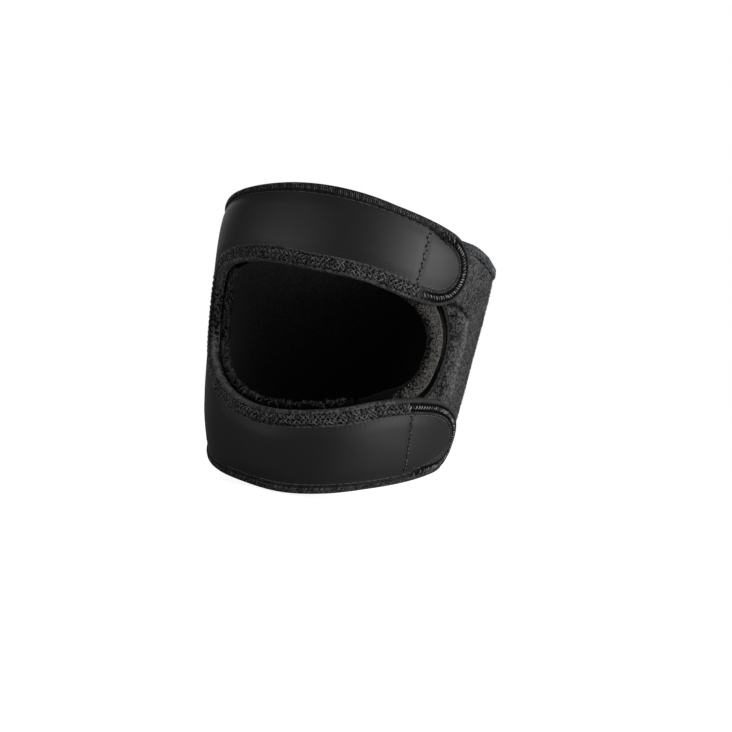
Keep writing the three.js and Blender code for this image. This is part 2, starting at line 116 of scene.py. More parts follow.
# %% [markdown]
# ## From the flat pattern to the knee
# A smooth curve through a table is a cubic Hermite curve whose slopes come from the neighbouring rows. The
# knee is a stack of superellipses. A place on the pattern becomes a point of the skin, and a depth moves it
# out along the surface's own normal. All of this works on whole numpy arrays, which keeps meshes of a
# hundred thousand faces quick to make.

# %% Helpers for curves
SMALL_STEP = 0.05  # for slopes, in millimetres or degrees


def lerp(a, b, t):
    return a + (b - a) * t


def smoothstep(x, low, high):
    t = np.clip((np.asarray(x, float) - low) / (high - low), 0, 1)
    return t * t * (3 - 2 * t)


def through(table, key, column, x, period=0):
    """Smooth curve through a table's rows. With a period, the last row runs on into the first."""
    keys, values = np.array(table[key], float), np.array(table[column], float)
    x, count = np.asarray(x, float), len(keys)
    at = keys[0] + np.mod(x - keys[0], period) if period else x
    i = np.clip(np.searchsorted(keys, at, side="right") - 1, 0, count - (1 if period else 2))

    def row(k):
        if not period:
            k = np.clip(k, 0, count - 1)
            return keys[k], values[k]
        turns = k // count
        return keys[k - turns * count] + turns * period, values[k - turns * count]

    (k0, v0), (k1, v1), (k2, v2), (k3, v3) = row(i - 1), row(i), row(i + 1), row(i + 2)
    width = k2 - k1
    t = np.clip((at - k1) / width, 0, 1)
    low_slope, high_slope = (v2 - v0) / (k2 - k0), (v3 - v1) / (k3 - k1)
    return (
        (2 * t**3 - 3 * t**2 + 1) * v1
        + (t**3 - 2 * t**2 + t) * width * low_slope
        + (3 * t**2 - 2 * t**3) * v2
        + (t**3 - t**2) * width * high_slope
    )


def shares(count):
    return np.linspace(0, 1, count + 1)


def bell(x, size):
    return np.exp(-((x / size) ** 2))


def band(x, low, high, soft=0.35):
    """1 between low and high, and 0 outside."""
    return smoothstep(x, low - soft, low + soft) * (1 - smoothstep(x, high - soft, high + soft))


def fuller(wave, power):
    """A sine or cosine with fuller shoulders, which makes a round squarer."""
    return np.sign(wave) * np.abs(wave) ** power


def unit(v):
    return v / np.maximum(np.linalg.norm(v, axis=-1, keepdims=True), 1e-12)


def place(x, y):
    return np.stack(np.broadcast_arrays(np.asarray(x, float), np.asarray(y, float)), -1)


print("half way between two rows:", through(knee_sections, "height", "width", 0.15).round(3))


# %% Wrap a place of the pattern onto the knee
def skin(x, y):
    turn, share = x / pattern_radius, y / front_height
    half_width = knee_width / 2 * through(knee_sections, "height", "width", share)
    half_depth = knee_depth / 2 * through(knee_sections, "height", "depth", share)
    sideways = np.abs(np.sin(turn) / half_width) ** knee_roundness
    forwards = np.abs(np.cos(turn) / half_depth) ** knee_roundness
    radius = (sideways + forwards) ** (-1 / knee_roundness)
    return np.stack([radius * np.sin(turn), -radius * np.cos(turn), y + 0 * x], -1)


def normal_at(p):
    x, y = p[..., 0], p[..., 1]
    round_the_leg = skin(x + SMALL_STEP, y) - skin(x - SMALL_STEP, y)
    up_the_leg = skin(x, y + SMALL_STEP) - skin(x, y - SMALL_STEP)
    return unit(np.cross(round_the_leg, up_the_leg))


def on_skin(p, depth):
    depth = np.broadcast_to(np.asarray(depth, float), p.shape[:-1])
    return skin(p[..., 0], p[..., 1]) + normal_at(p) * depth[..., None]


def on_straps(p, depth):
    """The straps rise over the wrap on their way to their ends."""
    return on_skin(p, depth + strap_lift * smoothstep(p[..., 0], ramp_start, ramp_start + ramp_length))


print("front of the knee, mm:", on_skin(place(0.0, 0.0), 0).round(1))


# %% Edges of the pattern
def edge(column, x):
    return front_height * through(edge_sections, "turn", column, np.degrees(x / pattern_radius), 360)


def top_edge(x):
    return edge("top", x)


def bottom_edge(x):
    return edge("bottom", x)


opening_top = top_edge(opening_middle) - upper_strap_width
opening_bottom = bottom_edge(opening_middle) + lower_strap_width


def opening(angle, inset):
    """Place on the opening's outline, or outside it by inset."""
    angle, inset = np.broadcast_arrays(np.asarray(angle, float), np.asarray(inset, float))

    def at(degrees):
        share = through(opening_sections, "angle", "reach", degrees, 360)
        x = opening_middle + opening_length / 2 * share * np.cos(np.radians(degrees))
        rise = (opening_top - opening_bottom) / 2 * share * np.sin(np.radians(degrees))
        return place(x, (opening_top + opening_bottom) / 2 + rise)

    along = unit(at(angle + SMALL_STEP) - at(angle - SMALL_STEP))
    out = place(along[..., 1], -along[..., 0])
    return at(angle) + out * inset[..., None]


print(f"opening: {opening_length} by {opening_top - opening_bottom:.1f} mm")


# %% [markdown]
# ## Edges of the straps as stations
# Each strap ends in a round tab. An edge is a row of stations from the tab's tip to the middle of the knee,
# and each station can give its place at any inset. A tape, a row of stitches and the cloth between two edges
# all read the same stations, so they can't drift apart.


# %% Round ends and the edges that lead to them
class Tab:
    """Half an ellipse, and the edges that lead to it. The angle goes round it from 0 at the outer edge to 180
    at the edge that faces the opening, and the round end begins at the angle start."""

    def __init__(self, edge_of, side, join_angle, width, length, tip, tilt, drop, fullness):
        self.edge_of, self.side, self.tilt, self.radius, self.length = edge_of, side, tilt, width / 2, length
        self.power = 2 / fullness
        slope = math.tan(math.radians(tilt)) * length / self.radius
        turn = math.atan(slope ** (fullness / (2 * (fullness - 1))))
        x = tip - length
        rise = side * (drop + self.radius * math.cos(turn) ** self.power)
        y = float(edge_of(x + length * math.sin(turn) ** self.power)) - rise
        self.centre, self.start = np.array([x, y]), math.degrees(turn)
        self.walk = math.pi * math.sqrt((self.length**2 + self.radius**2) / 2)
        self.join, self.join_angle = x - tab_blend, join_angle

    def at(self, angle, inset):
        across, up = np.sin(np.radians(angle)), np.cos(np.radians(angle))
        bend = np.where(up > 0, self.power, 1)
        across = (self.length - inset) * np.abs(across) ** bend
        return self.centre + place(across, self.side * (self.radius - inset) * fuller(up, bend))

    def edge_place(self, x, inset):
        return place(x, self.edge_of(x) - self.side * inset)

    def outer_run(self, t, inset):
        step = self.edge_place(self.join - 1, 0) - self.edge_place(self.join, 0)
        lean = math.radians(self.tilt)
        leave = np.array([-math.cos(lean), self.side * math.sin(lean)])
        return run(self.at(self.start, inset), leave, self.edge_place(self.join, inset), unit(step), t)

    def inner_run(self, t, inset):
        step = opening(self.join_angle + self.side, 0) - opening(self.join_angle, 0)
        return run(self.at(180, inset), np.array([-1.0, 0]), opening(self.join_angle, inset), unit(step), t)


def run(start, leave, end, arrive, t):
    """Smooth run between two places, each with the direction that the edge has there."""
    reach = np.linalg.norm(end - start, axis=-1, keepdims=True) / 3
    t = np.asarray(t)[..., None]
    a, b = start + leave * reach, end - arrive * reach
    return (1 - t) ** 3 * start + 3 * t * (1 - t) ** 2 * a + 3 * t**2 * (1 - t) * b + t**3 * end


upper = Tab(top_edge, 1, upper_join, **upper_tab)
lower = Tab(bottom_edge, -1, lower_join, **lower_tab)
print("tab centres, mm:", upper.centre.round(1), lower.centre.round(1))


# %% Rows of stations
THREAD_COLUMNS = 9  # insets between which a thread's places are read off


class Stations:
    """A row of places along an edge. Calling it with insets gives the places, (stations, insets, 2)."""

    def __init__(self, *parts):
        self.parts = [(function, values[1:] if n else values) for n, (function, values) in enumerate(parts)]
        self.count = sum(len(values) for _, values in self.parts)

    def __call__(self, insets):
        insets = np.atleast_2d(np.asarray(insets, float))
        insets = np.broadcast_to(insets, (self.count, insets.shape[-1]))
        rows, done = [], 0
        for function, values in self.parts:
            rows.append(function(values[:, None], insets[done : done + len(values)]))
            done += len(values)
        return np.concatenate(rows)

    def walked(self, inset=0.0):
        """Millimetres walked along the edge to each station."""
        line = self(inset)[:, 0]
        return np.concatenate([[0], np.cumsum(np.linalg.norm(np.diff(line, axis=0), axis=1))])

    def marks(self, pitch, start=0.0, end=0.0):
        """Even marks along the edge, in millimetres walked, with a stretch left out at each end."""
        length = self.walked()[-1] - start - end
        return start + (np.arange(int(length / pitch)) + 0.5) * length / int(length / pitch)

    def threads(self, marks, insets, shifts):
        """Paths at the marks: each point of a path has an inset and a shift along the edge."""
        walked, insets = self.walked(), np.broadcast_to(insets, (len(marks), np.shape(insets)[-1]))
        at = np.asarray(marks)[:, None] + shifts
        levels = np.linspace(insets.min(), insets.max(), THREAD_COLUMNS)
        places = self(levels)
        rows, columns = np.interp(at, walked, np.arange(self.count)), np.zeros(at.shape)
        if levels[-1] > levels[0]:
            columns = np.interp(insets, levels, np.arange(THREAD_COLUMNS))
        i = np.clip(rows.astype(int), 0, self.count - 2)
        j = np.clip(columns.astype(int), 0, THREAD_COLUMNS - 2)
        u, v = (rows - i)[..., None], (columns - j)[..., None]
        low = lerp(places[i, j], places[i, j + 1], v)
        high = lerp(places[i + 1, j], places[i + 1, j + 1], v)
        return lerp(low, high, u)


trial = Stations((lambda x, inset: place(x, top_edge(x) - inset), np.linspace(-50, 50, 11)))
print("top edge from -50 to 50 mm across is", trial.walked()[-1].round(1), "mm long")

# %% Edges from the tabs to the left side
FINE = 12  # raises or lowers the number of stations in every stretch
tip_steps, blend_steps, strap_steps, side_steps = 6 * FINE, 5 * FINE, 15 * FINE, 8 * FINE


def long_edge(tab, start_angle, end_angle):
    start, end = opening(np.array([start_angle, end_angle], float), 0)[:, 0]

    def at(angle, inset):
        share = ((start - opening(angle, 0)[..., 0]) / (start - end)) ** 1.2
        return tab.edge_place(lerp(tab.join, seam_across, share), inset)

    return at, lerp(start_angle, end_angle, shares(strap_steps))


def inner_parts(tab, low, high):
    return [
        (lambda t, inset: tab.at(lerp(90 + tip_opening, 180, t), inset), shares(tip_steps)),
        (tab.inner_run, shares(blend_steps)),
        (opening, lerp(low, high, shares(strap_steps))),
    ]


def outer_parts(tab, low, high):
    return [
        (lambda t, inset: tab.at(lerp(90 - tip_opening, tab.start, t), inset), shares(tip_steps)),
        (tab.outer_run, shares(blend_steps)),
        long_edge(tab, low, high),
    ]


def backwards(parts):
    return [(function, values[::-1]) for function, values in reversed(parts)]


upper_inner, upper_outer = inner_parts(upper, upper_join, left_top), outer_parts(upper, upper_join, left_top)
lower_inner = inner_parts(lower, lower_join + 360, left_bottom)
lower_outer = outer_parts(lower, lower_join + 360, left_bottom)


def seam(t, inset):
    top, bottom = upper.edge_place(seam_across, inset), lower.edge_place(seam_across, inset)
    return lerp(top, bottom, np.asarray(t)[..., None])


inner_stations = Stations(
    *upper_inner, (opening, lerp(left_top, left_bottom, shares(side_steps))), *backwards(lower_inner)
)
outer_stations = Stations(*upper_outer, (seam, shares(side_steps)), *backwards(lower_outer))
print("stations:", len(inner_stations(0.0)), len(outer_stations(0.0)))


# %% Seams that hold the hook patches, one across each strap
seam_margin = 0.5


def seam_line(inner, outer, inner_x, outer_x):
    """Ends of a straight seam between the two tapes, from the opening's side to the outer side."""
    ends = []
    outer_width = (edge_tape_width + opening_tape_width) / 2
    for parts, x, width in ((inner, inner_x, opening_tape_width), (outer, outer_x, outer_width)):
        line = Stations(*parts)(width + seam_margin)[::-1, 0]
        ends.append([x, float(np.interp(x, line[:, 0], line[:, 1]))])
    return np.array(ends)


upper_seam = seam_line(upper_inner, upper_outer, inner_x=41.2, outer_x=43.2)
lower_seam = seam_line(lower_inner, lower_outer, inner_x=51.5, outer_x=56)
print("hook seams, mm:", upper_seam.round(1).tolist(), lower_seam.round(1).tolist())


def off_line(p, line):
    """Distance of places from a straight line between two ends."""
    way = line[1] - line[0]
    length = np.linalg.norm(way)
    along = np.clip(((p - line[0]) @ way) / length**2, 0, 1)
    return np.linalg.norm(p - line[0] - along[..., None] * way, axis=-1)


# %% [markdown]
# ## Meshes from rings and threads
# Two builders make almost everything. A ring mesh joins closed cross-sections one after another, which suits
# foam and tape. A thread mesh sweeps a small round section along thousands of short paths at once, which
# suits stitches. Curves with a bevel would also do, but thousands of curve objects are slow, while one mesh
# of arrays is quick and exports as it is.


# %% A mesh from arrays
def mesh_object(name, points, faces, materials, lay=None, tone=None, material_of=None):
    """points in millimetres. lay is a place on the pattern for each point, and tone one number for each."""
    mesh = bpy.data.meshes.new(name)
    mesh.from_pydata((np.asarray(points).reshape(-1, 3) * MM).tolist(), [], faces)
    for material in materials:
        mesh.materials.append(material)
    mesh.polygons.foreach_set("use_smooth", np.ones(len(mesh.polygons), bool))
    if material_of is not None:
        mesh.polygons.foreach_set("material_index", np.asarray(material_of, np.int32))
    if lay is not None:
        corner = np.empty(len(mesh.loops), np.int32)
        mesh.loops.foreach_get("vertex_index", corner)
        layer = mesh.uv_layers.new(name="Lay")
        layer.uv.foreach_set("vector", np.float32(lay / LAY_MM).reshape(-1, 2)[corner].ravel())
    if tone is not None:
        attribute = mesh.attributes.new("tone", "FLOAT", "POINT")
        attribute.data.foreach_set("value", np.asarray(tone, np.float32).ravel())
    mesh.update()
    thing = bpy.data.objects.new(name, mesh)
    bpy.context.scene.collection.objects.link(thing)
    return thing


def triangles_of(thing):
    return sum(len(face.vertices) - 2 for face in thing.data.polygons)


def ring_faces(rings):
    """Faces of closed rings (stations, around, 3), with a cap on each end, all facing out."""
    count, around = rings.shape[:2]
    i, j = np.arange(count - 1)[:, None] * around, np.arange(around)[None, :]
    k = (j + 1) % around
    quads = np.stack([i + j, i + k, i + around + k, i + around + j], -1).reshape(-1, 4)
    p = rings.reshape(-1, 3)
    a, b, c, d = (p[quads[:, n]] for n in range(4))
    volume = (a * np.cross(b, c) + a * np.cross(c, d)).sum()
    faces = quads.tolist()
    first, last = list(range(around)), list(range((count - 1) * around, count * around))
    faces += [first[::-1], last]
    return [face[::-1] for face in faces] if volume < 0 else faces


def finish_piece(thing, slot, *nodes, fill=None):
    """Every piece rides on the root body and may stand for CAD nodes, which it hides. slot is not used."""
    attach(thing, "root")
    if nodes:
        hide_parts(*nodes)
    print(f"{thing.name}: {triangles_of(thing)} triangles")
    return thing


# %% Threads
rng = np.random.default_rng(7)
thread_tip = 0.55  # share of a thread's thickness at its two ends


def thread_mesh(name, paths, ups, radius, material, slot, sides=5, flat=1.0, tone=None):
    """Threads along paths (threads, points, 3) in millimetres, lying on a surface whose normals are ups."""
    count, points = paths.shape[:2]
    tangent = unit(np.gradient(paths, axis=1))
    side = unit(np.cross(tangent, ups))
    up = np.cross(side, tangent)
    angle = (2 * np.pi * np.arange(sides) / sides)[None, None, :, None]
    taper = np.ones(points)
    taper[[0, -1]] = thread_tip
    reach = radius * taper[None, :, None, None]
    around = np.cos(angle) * side[:, :, None] + flat * np.sin(angle) * up[:, :, None]
    rings = paths[:, :, None] + around * reach
    t = np.arange(count)[:, None, None] * points * sides
    i, j = np.arange(points - 1)[None, :, None] * sides, np.arange(sides)[None, None, :]
    k = (j + 1) % sides
    quads = np.stack([t + i + j, t + i + sides + j, t + i + sides + k, t + i + k], -1).reshape(-1, 4)
    base = np.arange(count)[:, None] * points * sides
    first = base + np.arange(sides)[None, :]
    last = base + (points - 1) * sides + np.arange(sides)[None, ::-1]
    faces = quads.tolist() + first.tolist() + last.tolist()
    tone = rng.random(count) if tone is None else tone
    thing = mesh_object(name, rings, faces, [material], tone=np.repeat(tone, points * sides))
    return finish_piece(thing, slot)


print("each thread of 6 points and 5 sides has", 5 * 5 * 2 + 2 * 3, "triangles")

# %% [markdown]
# ## Finishes
# The photographed strap is almost all black, so the finishes differ by their surface more than by their
# colour: a smooth knit face, a fuzzy loop cloth flecked light and dark, ribbed tape and matt lining. Flecks
# and fuzz are shared effects, so each is a node group with its own values in every material. They could be
# pictures, but noise in object space needs no unwrapping and stays sharp at any distance.


# %% Helpers for node trees
def new_group(name, inputs, outputs):
    group = bpy.data.node_groups.new(name, "ShaderNodeTree")
    for label, kind, default in inputs:
        socket = group.interface.new_socket(label, in_out="INPUT", socket_type=kind)
        socket.default_value = default
    for label, kind in outputs:
        group.interface.new_socket(label, in_out="OUTPUT", socket_type=kind)
    return group, group.nodes.new("NodeGroupInput"), group.nodes.new("NodeGroupOutput")


def node(tree, kind, **settings):
    made = tree.nodes.new(kind)
    for key, value in settings.items():
        if key.startswith("in_"):
            made.inputs[int(key[3:]) if key[3:].isdigit() else key[3:]].default_value = value
        else:
            setattr(made, key, value)
    return made


def math_node(tree, operation, a, b=None, clamp=False):
    made = node(tree, "ShaderNodeMath", operation=operation, use_clamp=clamp)
    for socket, value in zip(made.inputs, (a, b)):
        if value is None:
            continue
        if isinstance(value, (int, float)):
            socket.default_value = value
        else:
            tree.links.new(value, socket)
    return made.outputs[0]


# %% Flecks of a mixed yarn
def fleck_group():
    """Light and dark flecks of a mixed yarn: random cells, ruffled by a noise, 0.5 on average."""
    group, inside, outside = new_group(
        "Yarn flecks",
        [("Size mm", "NodeSocketFloat", 1.0), ("Contrast", "NodeSocketFloat", 1.0)],
        [("Fleck", "NodeSocketFloat"), ("Height", "NodeSocketFloat")],
    )
    where = node(group, "ShaderNodeTexCoord").outputs["Object"]
    scale = math_node(group, "DIVIDE", 1000.0, inside.outputs["Size mm"])
    noise = node(group, "ShaderNodeTexNoise", in_Detail=3.0, in_Roughness=0.7)
    cells = node(group, "ShaderNodeTexVoronoi")
    group.links.new(where, noise.inputs["Vector"])
    group.links.new(where, cells.inputs["Vector"])
    group.links.new(math_node(group, "MULTIPLY", scale, 0.5), noise.inputs["Scale"])
    group.links.new(scale, cells.inputs["Scale"])
    cell_tone = node(group, "ShaderNodeSeparateColor")
    group.links.new(cells.outputs["Color"], cell_tone.inputs[0])
    centred = math_node(group, "SUBTRACT", noise.outputs["Fac"], 0.5)
    wide = math_node(group, "MULTIPLY", centred, 0.5)
    cell = math_node(group, "SUBTRACT", cell_tone.outputs[0], 0.5)
    both = math_node(group, "MULTIPLY", math_node(group, "ADD", wide, cell), inside.outputs["Contrast"])
    group.links.new(math_node(group, "ADD", both, 0.5, clamp=True), outside.inputs["Fleck"])
    height = math_node(group, "SUBTRACT", noise.outputs["Fac"], cells.outputs["Distance"])
    group.links.new(height, outside.inputs["Height"])
    return group


flecks = fleck_group()
print(flecks.name, "has", len(flecks.nodes), "nodes")


# %% Fuzz
def fuzz_group():
    """Fine fuzz for bump: a small noise with a coarser one that ruffles it."""
    group, inside, outside = new_group(
        "Fuzz",
        [("Size mm", "NodeSocketFloat", 0.6), ("Ruffle", "NodeSocketFloat", 0.4)],
        [("Height", "NodeSocketFloat")],
    )
    where = node(group, "ShaderNodeTexCoord").outputs["Object"]
    scale = math_node(group, "DIVIDE", 1000.0, inside.outputs["Size mm"])
    fine = node(group, "ShaderNodeTexNoise", in_Detail=2.0, in_Roughness=0.6)
    coarse = node(group, "ShaderNodeTexNoise", in_Detail=1.0)
    for noise, rate in ((fine, scale), (coarse, math_node(group, "DIVIDE", scale, 5.0))):
        group.links.new(where, noise.inputs["Vector"])
        group.links.new(rate, noise.inputs["Scale"])
    ruffled = math_node(group, "MULTIPLY", coarse.outputs["Fac"], inside.outputs["Ruffle"])
    group.links.new(math_node(group, "ADD", fine.outputs["Fac"], ruffled), outside.inputs["Height"])
    return group


fuzz = fuzz_group()
print(fuzz.name, "has", len(fuzz.nodes), "nodes")


# %% Rows of knitting
def knit_group():
    """Rows of small V-shaped loops, drawn on the flat pattern through the Lay map."""
    group, inside, outside = new_group(
        "Knit rows", [("Pitch mm", "NodeSocketFloat", 0.6)], [("Height", "NodeSocketFloat")]
    )
    lay = node(group, "ShaderNodeSeparateXYZ")
    group.links.new(node(group, "ShaderNodeUVMap", uv_map="Lay").outputs["UV"], lay.inputs[0])
    rate = math_node(group, "DIVIDE", 2 * math.pi * LAY_MM, inside.outputs["Pitch mm"])
    across, along = (math_node(group, "MULTIPLY", lay.outputs[k], rate) for k in (0, 1))
    bend = math_node(group, "MULTIPLY", math_node(group, "SINE", across), 1.1)
    loops = math_node(group, "SINE", math_node(group, "ADD", along, bend))
    wales = math_node(group, "COSINE", across)
    both = math_node(group, "ADD", loops, wales)
    group.links.new(math_node(group, "MULTIPLY", both, 0.25), outside.inputs["Height"])
    return group


knit = knit_group()
print(knit.name, "has", len(knit.nodes), "nodes")


# %% A cloth material from a few values
def grey(value, tint=(1, 1, 1)):
    return (value * tint[0], value * tint[1], value * tint[2], 1)


def cloth_material(
    name, dark, light, fleck_mm, contrast, fuzz_mm, bump_mm, roughness, sheen, specular, toned=0, knit_mm=0
):
    """A cloth whose colour runs from dark to light with its flecks, and whose bump is its fuzz. Toned is the
    share of the colour that comes from the mesh's own tone. With knit_mm, rows of knitting show too."""
    material = bpy.data.materials.new(name)
    material.use_nodes = True
    tree = material.node_tree
    shader = tree.nodes["Principled BSDF"]
    shader.inputs["Roughness"].default_value = roughness
    shader.inputs["Specular IOR Level"].default_value = specular
    shader.inputs["Sheen Weight"].default_value = sheen
    shader.inputs["Sheen Roughness"].default_value = 0.5
    yarn = node(tree, "ShaderNodeGroup", node_tree=flecks)
    yarn.inputs["Size mm"].default_value = fleck_mm
    yarn.inputs["Contrast"].default_value = contrast
    share = yarn.outputs["Fleck"]
    if toned:
        own = node(tree, "ShaderNodeAttribute", attribute_name="tone")
        mixed = math_node(tree, "MULTIPLY", own.outputs["Fac"], toned)
        share = math_node(tree, "ADD", math_node(tree, "MULTIPLY", share, 1 - toned), mixed, clamp=True)
    colour = node(tree, "ShaderNodeMix", data_type="RGBA")
    colour.inputs["A"].default_value = dark
    colour.inputs["B"].default_value = light
    tree.links.new(share, colour.inputs["Factor"])
    tree.links.new(colour.outputs["Result"], shader.inputs["Base Color"])
    pile = node(tree, "ShaderNodeGroup", node_tree=fuzz)
    pile.inputs["Size mm"].default_value = fuzz_mm
    bump = node(tree, "ShaderNodeBump")
    bump.inputs["Strength"].default_value = 1.0
    bump.inputs["Distance"].default_value = bump_mm * MM
    height = pile.outputs["Height"]
    if knit_mm:
        loops = node(tree, "ShaderNodeGroup", node_tree=knit)
        loops.inputs["Pitch mm"].default_value = knit_mm
        height = math_node(tree, "ADD", height, loops.outputs["Height"])
    tree.links.new(height, bump.inputs["Height"])
    tree.links.new(bump.outputs["Normal"], shader.inputs["Normal"])
    return material


# %% The finishes
cool, warm, plain = (0.93, 1.0, 1.06), (1.06, 1.01, 0.92), (1, 1, 1.02)
cloth = {}
for name, dark, light, *values in (
    # name, dark colour, light colour, then in the order of cloth_material: fleck mm, contrast, fuzz mm,
    # bump mm, roughness, sheen, specular, share of the tone, knit mm
    ("Smooth knit face", grey(0.017, plain), grey(0.023, plain), 0.5, 0.5, 0.4, 0.018, 0.5, 0.1, 0.5, 0, 0.45),
    ("Matt lining", grey(0.004), grey(0.014), 0.8, 1.6, 0.7, 0.12, 0.85, 0.15, 0.2),
    ("Fuzzy roll", grey(0.0005), grey(0.006), 0.7, 1.6, 0.5, 0.4, 0.95, 0.02, 0.05),
    ("Loop cloth", grey(0.001), grey(0.185), 0.85, 3.2, 0.5, 0.3, 0.9, 0.03, 0.1, 0.45),
    ("Binding tape", grey(0.001, cool), grey(0.07, plain), 0.9, 1.6, 0.4, 0.15, 0.75, 0.03, 0.15, 0.7),
    ("Wrap tape", grey(0.001), grey(0.18, cool), 0.8, 3.2, 0.4, 0.2, 0.8, 0.03, 0.1, 0.35),
    ("Opening tape", grey(0.001), grey(0.17), 0.9, 2.0, 0.5, 0.3, 0.8, 0.03, 0.1, 0.45),
    ("Bridge cloth", grey(0.001), grey(0.18, warm), 0.75, 3.0, 0.5, 0.4, 0.85, 0.02, 0.1, 0.5),
    ("Rib thread", grey(0.003, cool), grey(0.34, cool), 0.6, 1.6, 0.2, 0.05, 0.6, 0.05, 0.4, 0.7),
    ("Cover stitch thread", grey(0.01), grey(0.27), 0.6, 1.6, 0.2, 0.05, 0.55, 0.05, 0.4, 0.7),
    ("Tab stitch thread", grey(0.01), grey(0.5), 0.6, 1.6, 0.2, 0.05, 0.5, 0.05, 0.5, 0.75),
    ("Edge line thread", grey(0.06), grey(0.22, plain), 0.9, 1.0, 0.2, 0.03, 0.6, 0.05, 0.4, 0.2),
    ("Loose fibre", grey(0.005), grey(0.32), 0.5, 1.0, 0.2, 0.02, 0.7, 0.1, 0.3, 0.8),
    ("Bright fibre", grey(0.03), grey(0.5, warm), 0.5, 1.0, 0.2, 0.02, 0.7, 0.1, 0.3, 0.8),
    ("Needle hole", grey(0.0005), grey(0.002), 0.5, 1.0, 0.4, 0.02, 0.95, 0, 0.05),
    ("Hook tape", grey(0.006), grey(0.02), 0.6, 1.0, 0.5, 0.3, 0.6, 0, 0.5),
):
    cloth[name] = cloth_material(name, dark, light, *values)
print("materials:", len(bpy.data.materials))

# %% [markdown]
# ## The smooth front
# One piece of foam rubber with a knit face runs from the tip of the upper strap, down the left side, to the
# tip of the lower strap. It could be a flat sheet bent by a modifier; drawn on the pattern it has the true
# cut instead. Foam swells a little between its bound edges, so the face rises from each tape by half a
# millimetre, and it puckers slightly where the tape's stitches pull it in.


# %% Foam with a face and a lining
def soft_noise(p, size, seed):
    """A smooth random field over the pattern, about -1 to 1, of a few sine waves in random directions."""
    source = np.random.default_rng(seed)
    total = np.zeros(p.shape[:-1])
    for _ in range(7):
        heading, phase = source.random() * 2 * np.pi, source.random() * 2 * np.pi
        rate = source.uniform(0.6, 1.6)
        along = p[..., 0] * np.cos(heading) + p[..., 1] * np.sin(heading)
        total += np.sin(along * 2 * np.pi * rate / size + phase)
    return total / 3


def two_sides(over, under):
    """Closed sections from the rows of an upper side and an under side."""
    return np.concatenate([over, under[:, ::-1]], 1)


def foam_sheet(name, flat, swell, layer, face, tone=None):
    """Foam between a face cloth and the lining. The face stands out by swell."""
    rings = two_sides(layer(flat, cloth_top + swell), layer(flat, cloth_depth))
    lined = np.tile(np.arange(rings.shape[1]) >= flat.shape[1], len(rings) - 1)
    tone = None if tone is None else two_sides(tone, tone)
    return mesh_object(
        name, rings, ring_faces(rings), [face, cloth["Matt lining"]], lay=two_sides(flat, flat), tone=tone,
        material_of=np.r_[lined, [1, 1]],
    )


# %% Front cloth
face_rise, face_rows, seam_pull, seam_pull_width = 0.55, 44, 0.35, 1.5
rise_from_inner, rise_from_outer = (5.5, 12), (2.6, 9)  # insets between which the face rises
pucker, pucker_pitch, pucker_inset, pucker_width = 0.03, 2.0, 7.5, 1.6

inner_line, outer_line = inner_stations(cloth_inset)[:, 0], outer_stations(cloth_inset)[:, 0]
rows = shares(face_rows)
rows = lerp(rows, smoothstep(rows, 0, 1), 0.5)  # closer together towards both edges
front = inner_line[:, None] + (outer_line - inner_line)[:, None] * rows[None, :, None]
across_width = np.linalg.norm(outer_line - inner_line, axis=1)[:, None]
from_inner, from_outer = rows[None, :] * across_width, (1 - rows)[None, :] * across_width
walked = inner_stations.walked(cloth_inset)[:, None]


def face_swell(p, from_inner, from_outer):
    """How far the face stands out from its bound edges, less the pull of the seams."""
    rise = smoothstep(from_inner, *rise_from_inner) * smoothstep(from_outer, *rise_from_outer)
    pull = sum(bell(off_line(p, line), seam_pull_width) for line in (upper_seam, lower_seam))
    return rise * (face_rise + 0.12 * soft_noise(p, 46, 3) - seam_pull * pull)


wave = np.sin(walked * 2 * np.pi / pucker_pitch) * bell(from_inner - pucker_inset, pucker_width)
swell = face_swell(front, from_inner, from_outer) + pucker * wave
front_piece = foam_sheet("front_foam_cloth", front, swell, on_straps, cloth["Smooth knit face"])
finish_piece(front_piece, "smooth_cloth", "front_cloth", fill=0.5)

# %% [markdown]
# ## Folded tapes
# A binding tape is folded over the raw edge of the foam and sewn through. A curve with a bevel object could
# carry such a section, but it would twist and keep one width. Here the section, a thin shell with round
# shoulders, is swept along the stations, so the tape follows every curve of the cut edge and widens where
# the real one does.

# %% Tape section
shoulder = 1.3  # radius of the fold's two shoulders
tape_bulge, tape_bite, bite_power = 0.1, 0.2, 8  # the face swells, then its sewn edge sinks into the cloth
tape_drop = edge_thickness - cloth_top - tape_bite


def tape_face(t):
    """Height of the tape's outer face, for a share t of the way from the fold to the sewn edge."""
    return tape_bulge * np.sin(np.pi * t) - tape_drop * t**bite_power


def fold_line(offset):
    """One line of a folded tape's section, from the lining side round the edge to the face. Each point has
    an inset that is a plain number plus a share of the tape's width, and a depth."""
    radius = shoulder - 0.6 * offset
    turn = np.linspace(0, np.pi / 2, 6)
    lining, t = np.linspace(lining_tape_width, offset + radius, 4)[:-1], shares(14)[1:]
    reach, rise = radius * (1 - np.sin(turn)), radius * (1 - np.cos(turn))
    parts = (
        (lining, 0 * lining, 0 * lining + offset),
        (offset + reach, 0 * turn, offset + rise),
        (offset + rise, 0 * turn, edge_thickness - offset - reach),
        ((offset + radius) * (1 - t), t, edge_thickness - offset + tape_face(t)),
    )
    return np.concatenate([np.stack(part, -1) for part in parts])


fold_section = np.concatenate([fold_line(0.0), fold_line(tape_thickness)[::-1]])
print("tape section points:", len(fold_section))


